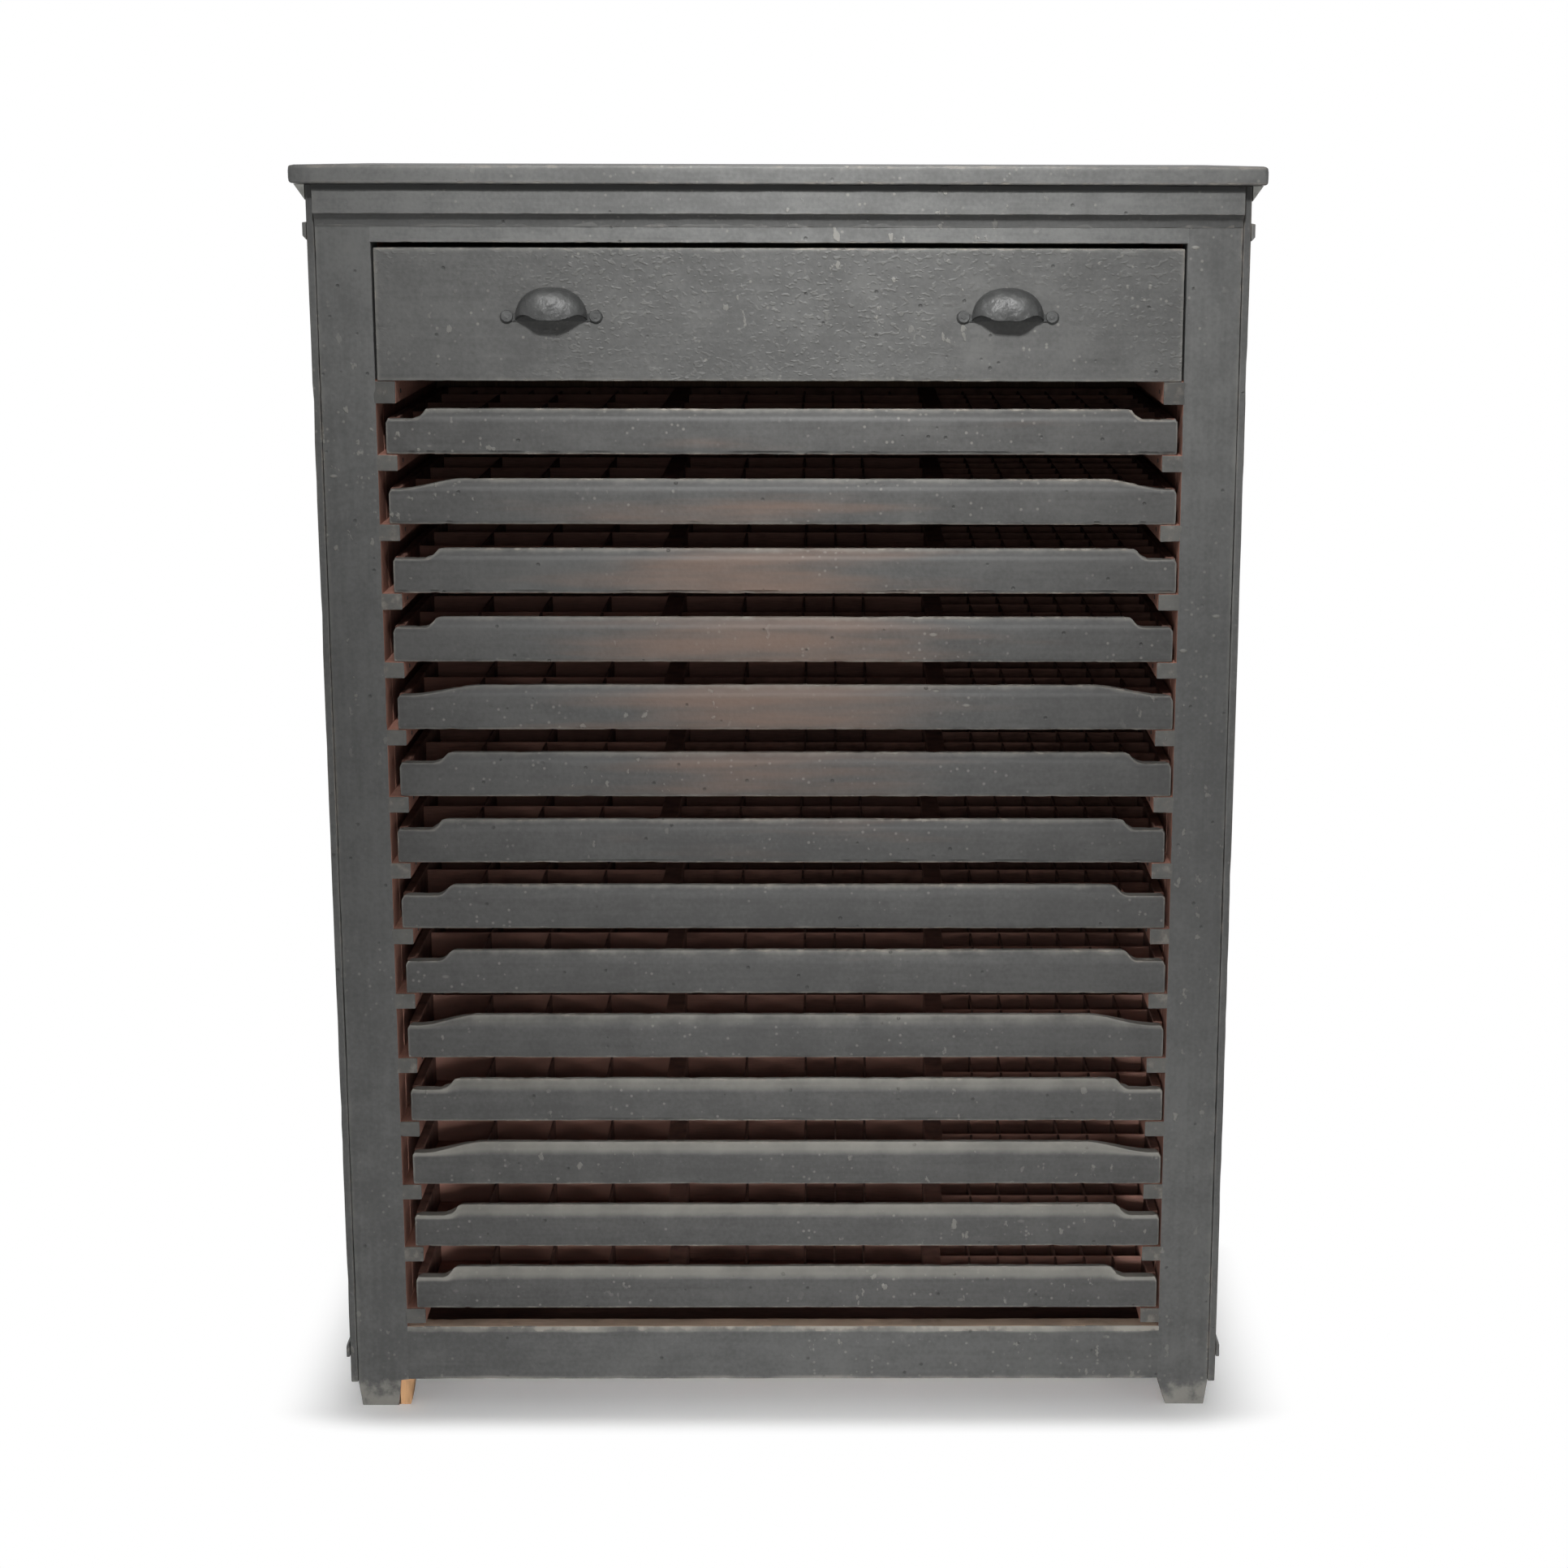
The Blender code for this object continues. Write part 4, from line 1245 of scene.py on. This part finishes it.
def tray_lattice(low, high):
    """Thin dividers: cross pieces from side to side of a bay, and short ones between them."""
    own = settings().trays
    draw = random.Random(23)
    form = new_form()
    base = low.z + own.floor
    top = high.z - own.drop
    front = low.y
    back = high.y - own.wall
    unit = (back - front) / own.rows
    half = own.divider / 2
    short_top = top - 0.0004
    wide_rows = [front, front + 2 * unit, front + 4 * unit, front + 6 * unit, back]
    right_rows = [front + row * unit for row in range(own.rows + 1)]
    layouts = (
        (wide_rows, (2, 4, 6), (1, 2, 3, 4, 5, 6, 7), 8),
        (wide_rows, (2, 4, 5, 6), (1, 2, 3, 4, 5, 6, 7), 8),
        (right_rows, (1, 2, 3, 4, 5, 6), (1, 2, 3, 4, 5, 6), 7),
    )
    for (left, right), (rows, columns, last_columns, parts) in zip(tray_bays(low, high), layouts):
        for y in rows[1:-1]:
            add_box(form, (left, y - half, base), (right, y + half, top), draw.uniform(0.0, 0.7))
        for row, (near, far) in enumerate(zip(rows, rows[1:])):
            near += half * (row > 0)
            far -= half * (row < len(rows) - 2)
            for column in last_columns if row == len(rows) - 2 else columns:
                x = left + (right - left) * column / parts
                # The short dividers' low tones paint them dark as shaded lines.
                tone = draw.uniform(-1.8, -1.3)
                add_box(form, (x - half, near, base), (x + half, far, short_top), tone)
    ease(form, width=0.0004, segments=1)
    return form


class CABINET_OT_stage(Operator):
    """Floor, lamps, backdrop and camera"""

    bl_idname = "type_cabinet.stage"
    bl_label = "Stage"

    def execute(self, context):
        own = settings().stage
        scene = context.scene
        scene.view_settings.view_transform = "Standard"
        camera = bpy.data.objects.new("camera", bpy.data.cameras.new("camera"))
        camera.data.lens = own.lens
        camera.data.sensor_width = 36.0
        camera.data.shift_x = own.shift
        turn = Matrix.Rotation(own.yaw, 4, "Z") @ Matrix.Rotation(pi / 2 - own.pitch, 4, "X")
        camera.matrix_world = Matrix.Translation(own.place) @ turn @ Matrix.Rotation(own.roll, 4, "Z")
        scene.collection.objects.link(camera)
        scene.camera = camera

        form = bmesh.new()
        bmesh.ops.create_grid(form, x_segments=8, y_segments=8, size=12.0)
        mesh = bpy.data.meshes.new("floor")
        form.to_mesh(mesh)
        form.free()
        mesh.materials.append(floor_finish())
        floor = bpy.data.objects.new("floor", mesh)
        scene.collection.objects.link(floor)

        lamps = (
            ("key", (-0.05, -2.3, 2.9), 0.28, own.key, radians(32), (0.06, FRONT_Y, 1.32)),
            ("overhead", (0.1, -1.25, 3.7), 2.2, own.overhead, pi, (0.1, -1.1, 0.0)),
            ("front", (0.05, -2.6, 0.5), 0.5, own.front, radians(50), (0.05, FRONT_Y, 0.0)),
            ("fill", (0.05, -3.3, 1.30), 0.4, own.fill, pi, (0.05, FRONT_Y, 0.6)),
            ("behind", (0.5, 3.3, 0.95), 0.6, own.behind, pi, (0.0, REAR_Y, 0.7)),
            ("side_left", (-2.3, -2.3, 0.9), 0.5, own.sides, pi, (0.0, FRONT_Y, 0.6)),
            ("side_right", (2.4, -2.3, 0.9), 0.5, own.sides, pi, (0.0, FRONT_Y, 0.6)),
        )
        for name, place, size, power, spread, target in lamps:
            lamp = bpy.data.objects.new(name, bpy.data.lights.new(name, "AREA"))
            lamp.data.size = size
            lamp.data.energy = power
            lamp.data.spread = spread
            lamp.location = place
            lamp.rotation_euler = (Vector(target) - Vector(place)).to_track_quat("-Z", "Y").to_euler()
            lamp.visible_camera = False
            scene.collection.objects.link(lamp)

        scene.world = bpy.data.worlds.new("studio")
        it = Finish(scene.world, "Background")
        level = it.node("ShaderNodeMapRange", None, {"Value": it.seen(), "To Min": own.sky, "To Max": 1.0})
        it.feed(it.shader.inputs["Color"], (1.0, 1.0, 1.0))
        it.feed(it.shader.inputs["Strength"], level)
        return {"FINISHED"}


def floor_finish():
    """White paper floor that keeps the shadow near the cabinet and runs out to plain white."""
    it = Finish(bpy.data.materials.new("floor"))
    tree = it.tree
    it.feed(it.shader.inputs["Base Color"], (0.95, 0.95, 0.95))
    it.feed(it.shader.inputs["Roughness"], 0.9)
    paper = it.node("ShaderNodeBsdfDiffuse", None, {"Color": (1.0, 1.0, 1.0)})
    glow = it.node("ShaderNodeEmission", None, {"Color": (1.0, 1.0, 1.0), "Strength": 0.13})
    lit = it.node("ShaderNodeAddShader", None, {0: paper, 1: glow})
    white = it.node("ShaderNodeEmission", None, {"Color": (1.0, 1.0, 1.0), "Strength": 1.0})
    corner = Vector((OPENING_X, REAR_Y, 0.0))
    mirrored = it.node("ShaderNodeVectorMath", {"operation": "ABSOLUTE"}, {0: it.where})
    beside = it.node("ShaderNodeVectorMath", {"operation": "SUBTRACT"}, {0: mirrored, 1: corner})
    outside = it.node("ShaderNodeVectorMath", {"operation": "MAXIMUM"}, {0: beside, 1: (0.0, 0.0, 0.0)})
    hurried = it.node("ShaderNodeVectorMath", {"operation": "MULTIPLY"}, {0: outside, 1: (1.0, 2.2, 1.0)})
    far = it.node("ShaderNodeVectorMath", {"operation": "LENGTH"}, {0: hurried}, "Value")
    shown = it.node("ShaderNodeMixShader", None, {0: it.ramp(far, 0.02, 0.16), 1: lit, 2: white})
    plain = Value(it, it.shader.outputs[0])
    mixed = it.node("ShaderNodeMixShader", None, {0: it.seen(), 1: plain, 2: shown})
    tree.links.new(mixed.socket, tree.nodes["Material Output"].inputs["Surface"])
    return it.owner


OPERATORS = (
    CABINET_OT_case,
    CABINET_OT_top,
    CABINET_OT_back,
    CABINET_OT_runners,
    CABINET_OT_drawer,
    CABINET_OT_pulls,
    CABINET_OT_tray_fronts,
    CABINET_OT_tray_cases,
    CABINET_OT_stage,
)


class CABINET_PT_sidebar(Panel):
    """Lists the cabinet's pieces"""

    bl_idname = "CABINET_PT_sidebar"
    bl_label = "Type Cabinet"
    bl_space_type = "VIEW_3D"
    bl_region_type = "UI"
    bl_category = "Type Cabinet"

    def draw(self, context):
        for operator in OPERATORS:
            self.layout.operator(operator.bl_idname)


CLASSES = (
    BoardSettings,
    TraySettings,
    FrontSettings,
    PullSettings,
    FinishSettings,
    StageSettings,
    CabinetSettings,
    *OPERATORS,
    CABINET_PT_sidebar,
)


def register():
    for item in CLASSES:
        bpy.utils.register_class(item)
    bpy.types.Scene.type_cabinet = PointerProperty(type=CabinetSettings)


def unregister():
    del bpy.types.Scene.type_cabinet
    for item in reversed(CLASSES):
        bpy.utils.unregister_class(item)


def main():
    register()
    make_finishes()
    for operator in OPERATORS:
        group, name = operator.bl_idname.split(".")
        getattr(getattr(bpy.ops, group), name)()


if __name__ == "__main__":
    main()
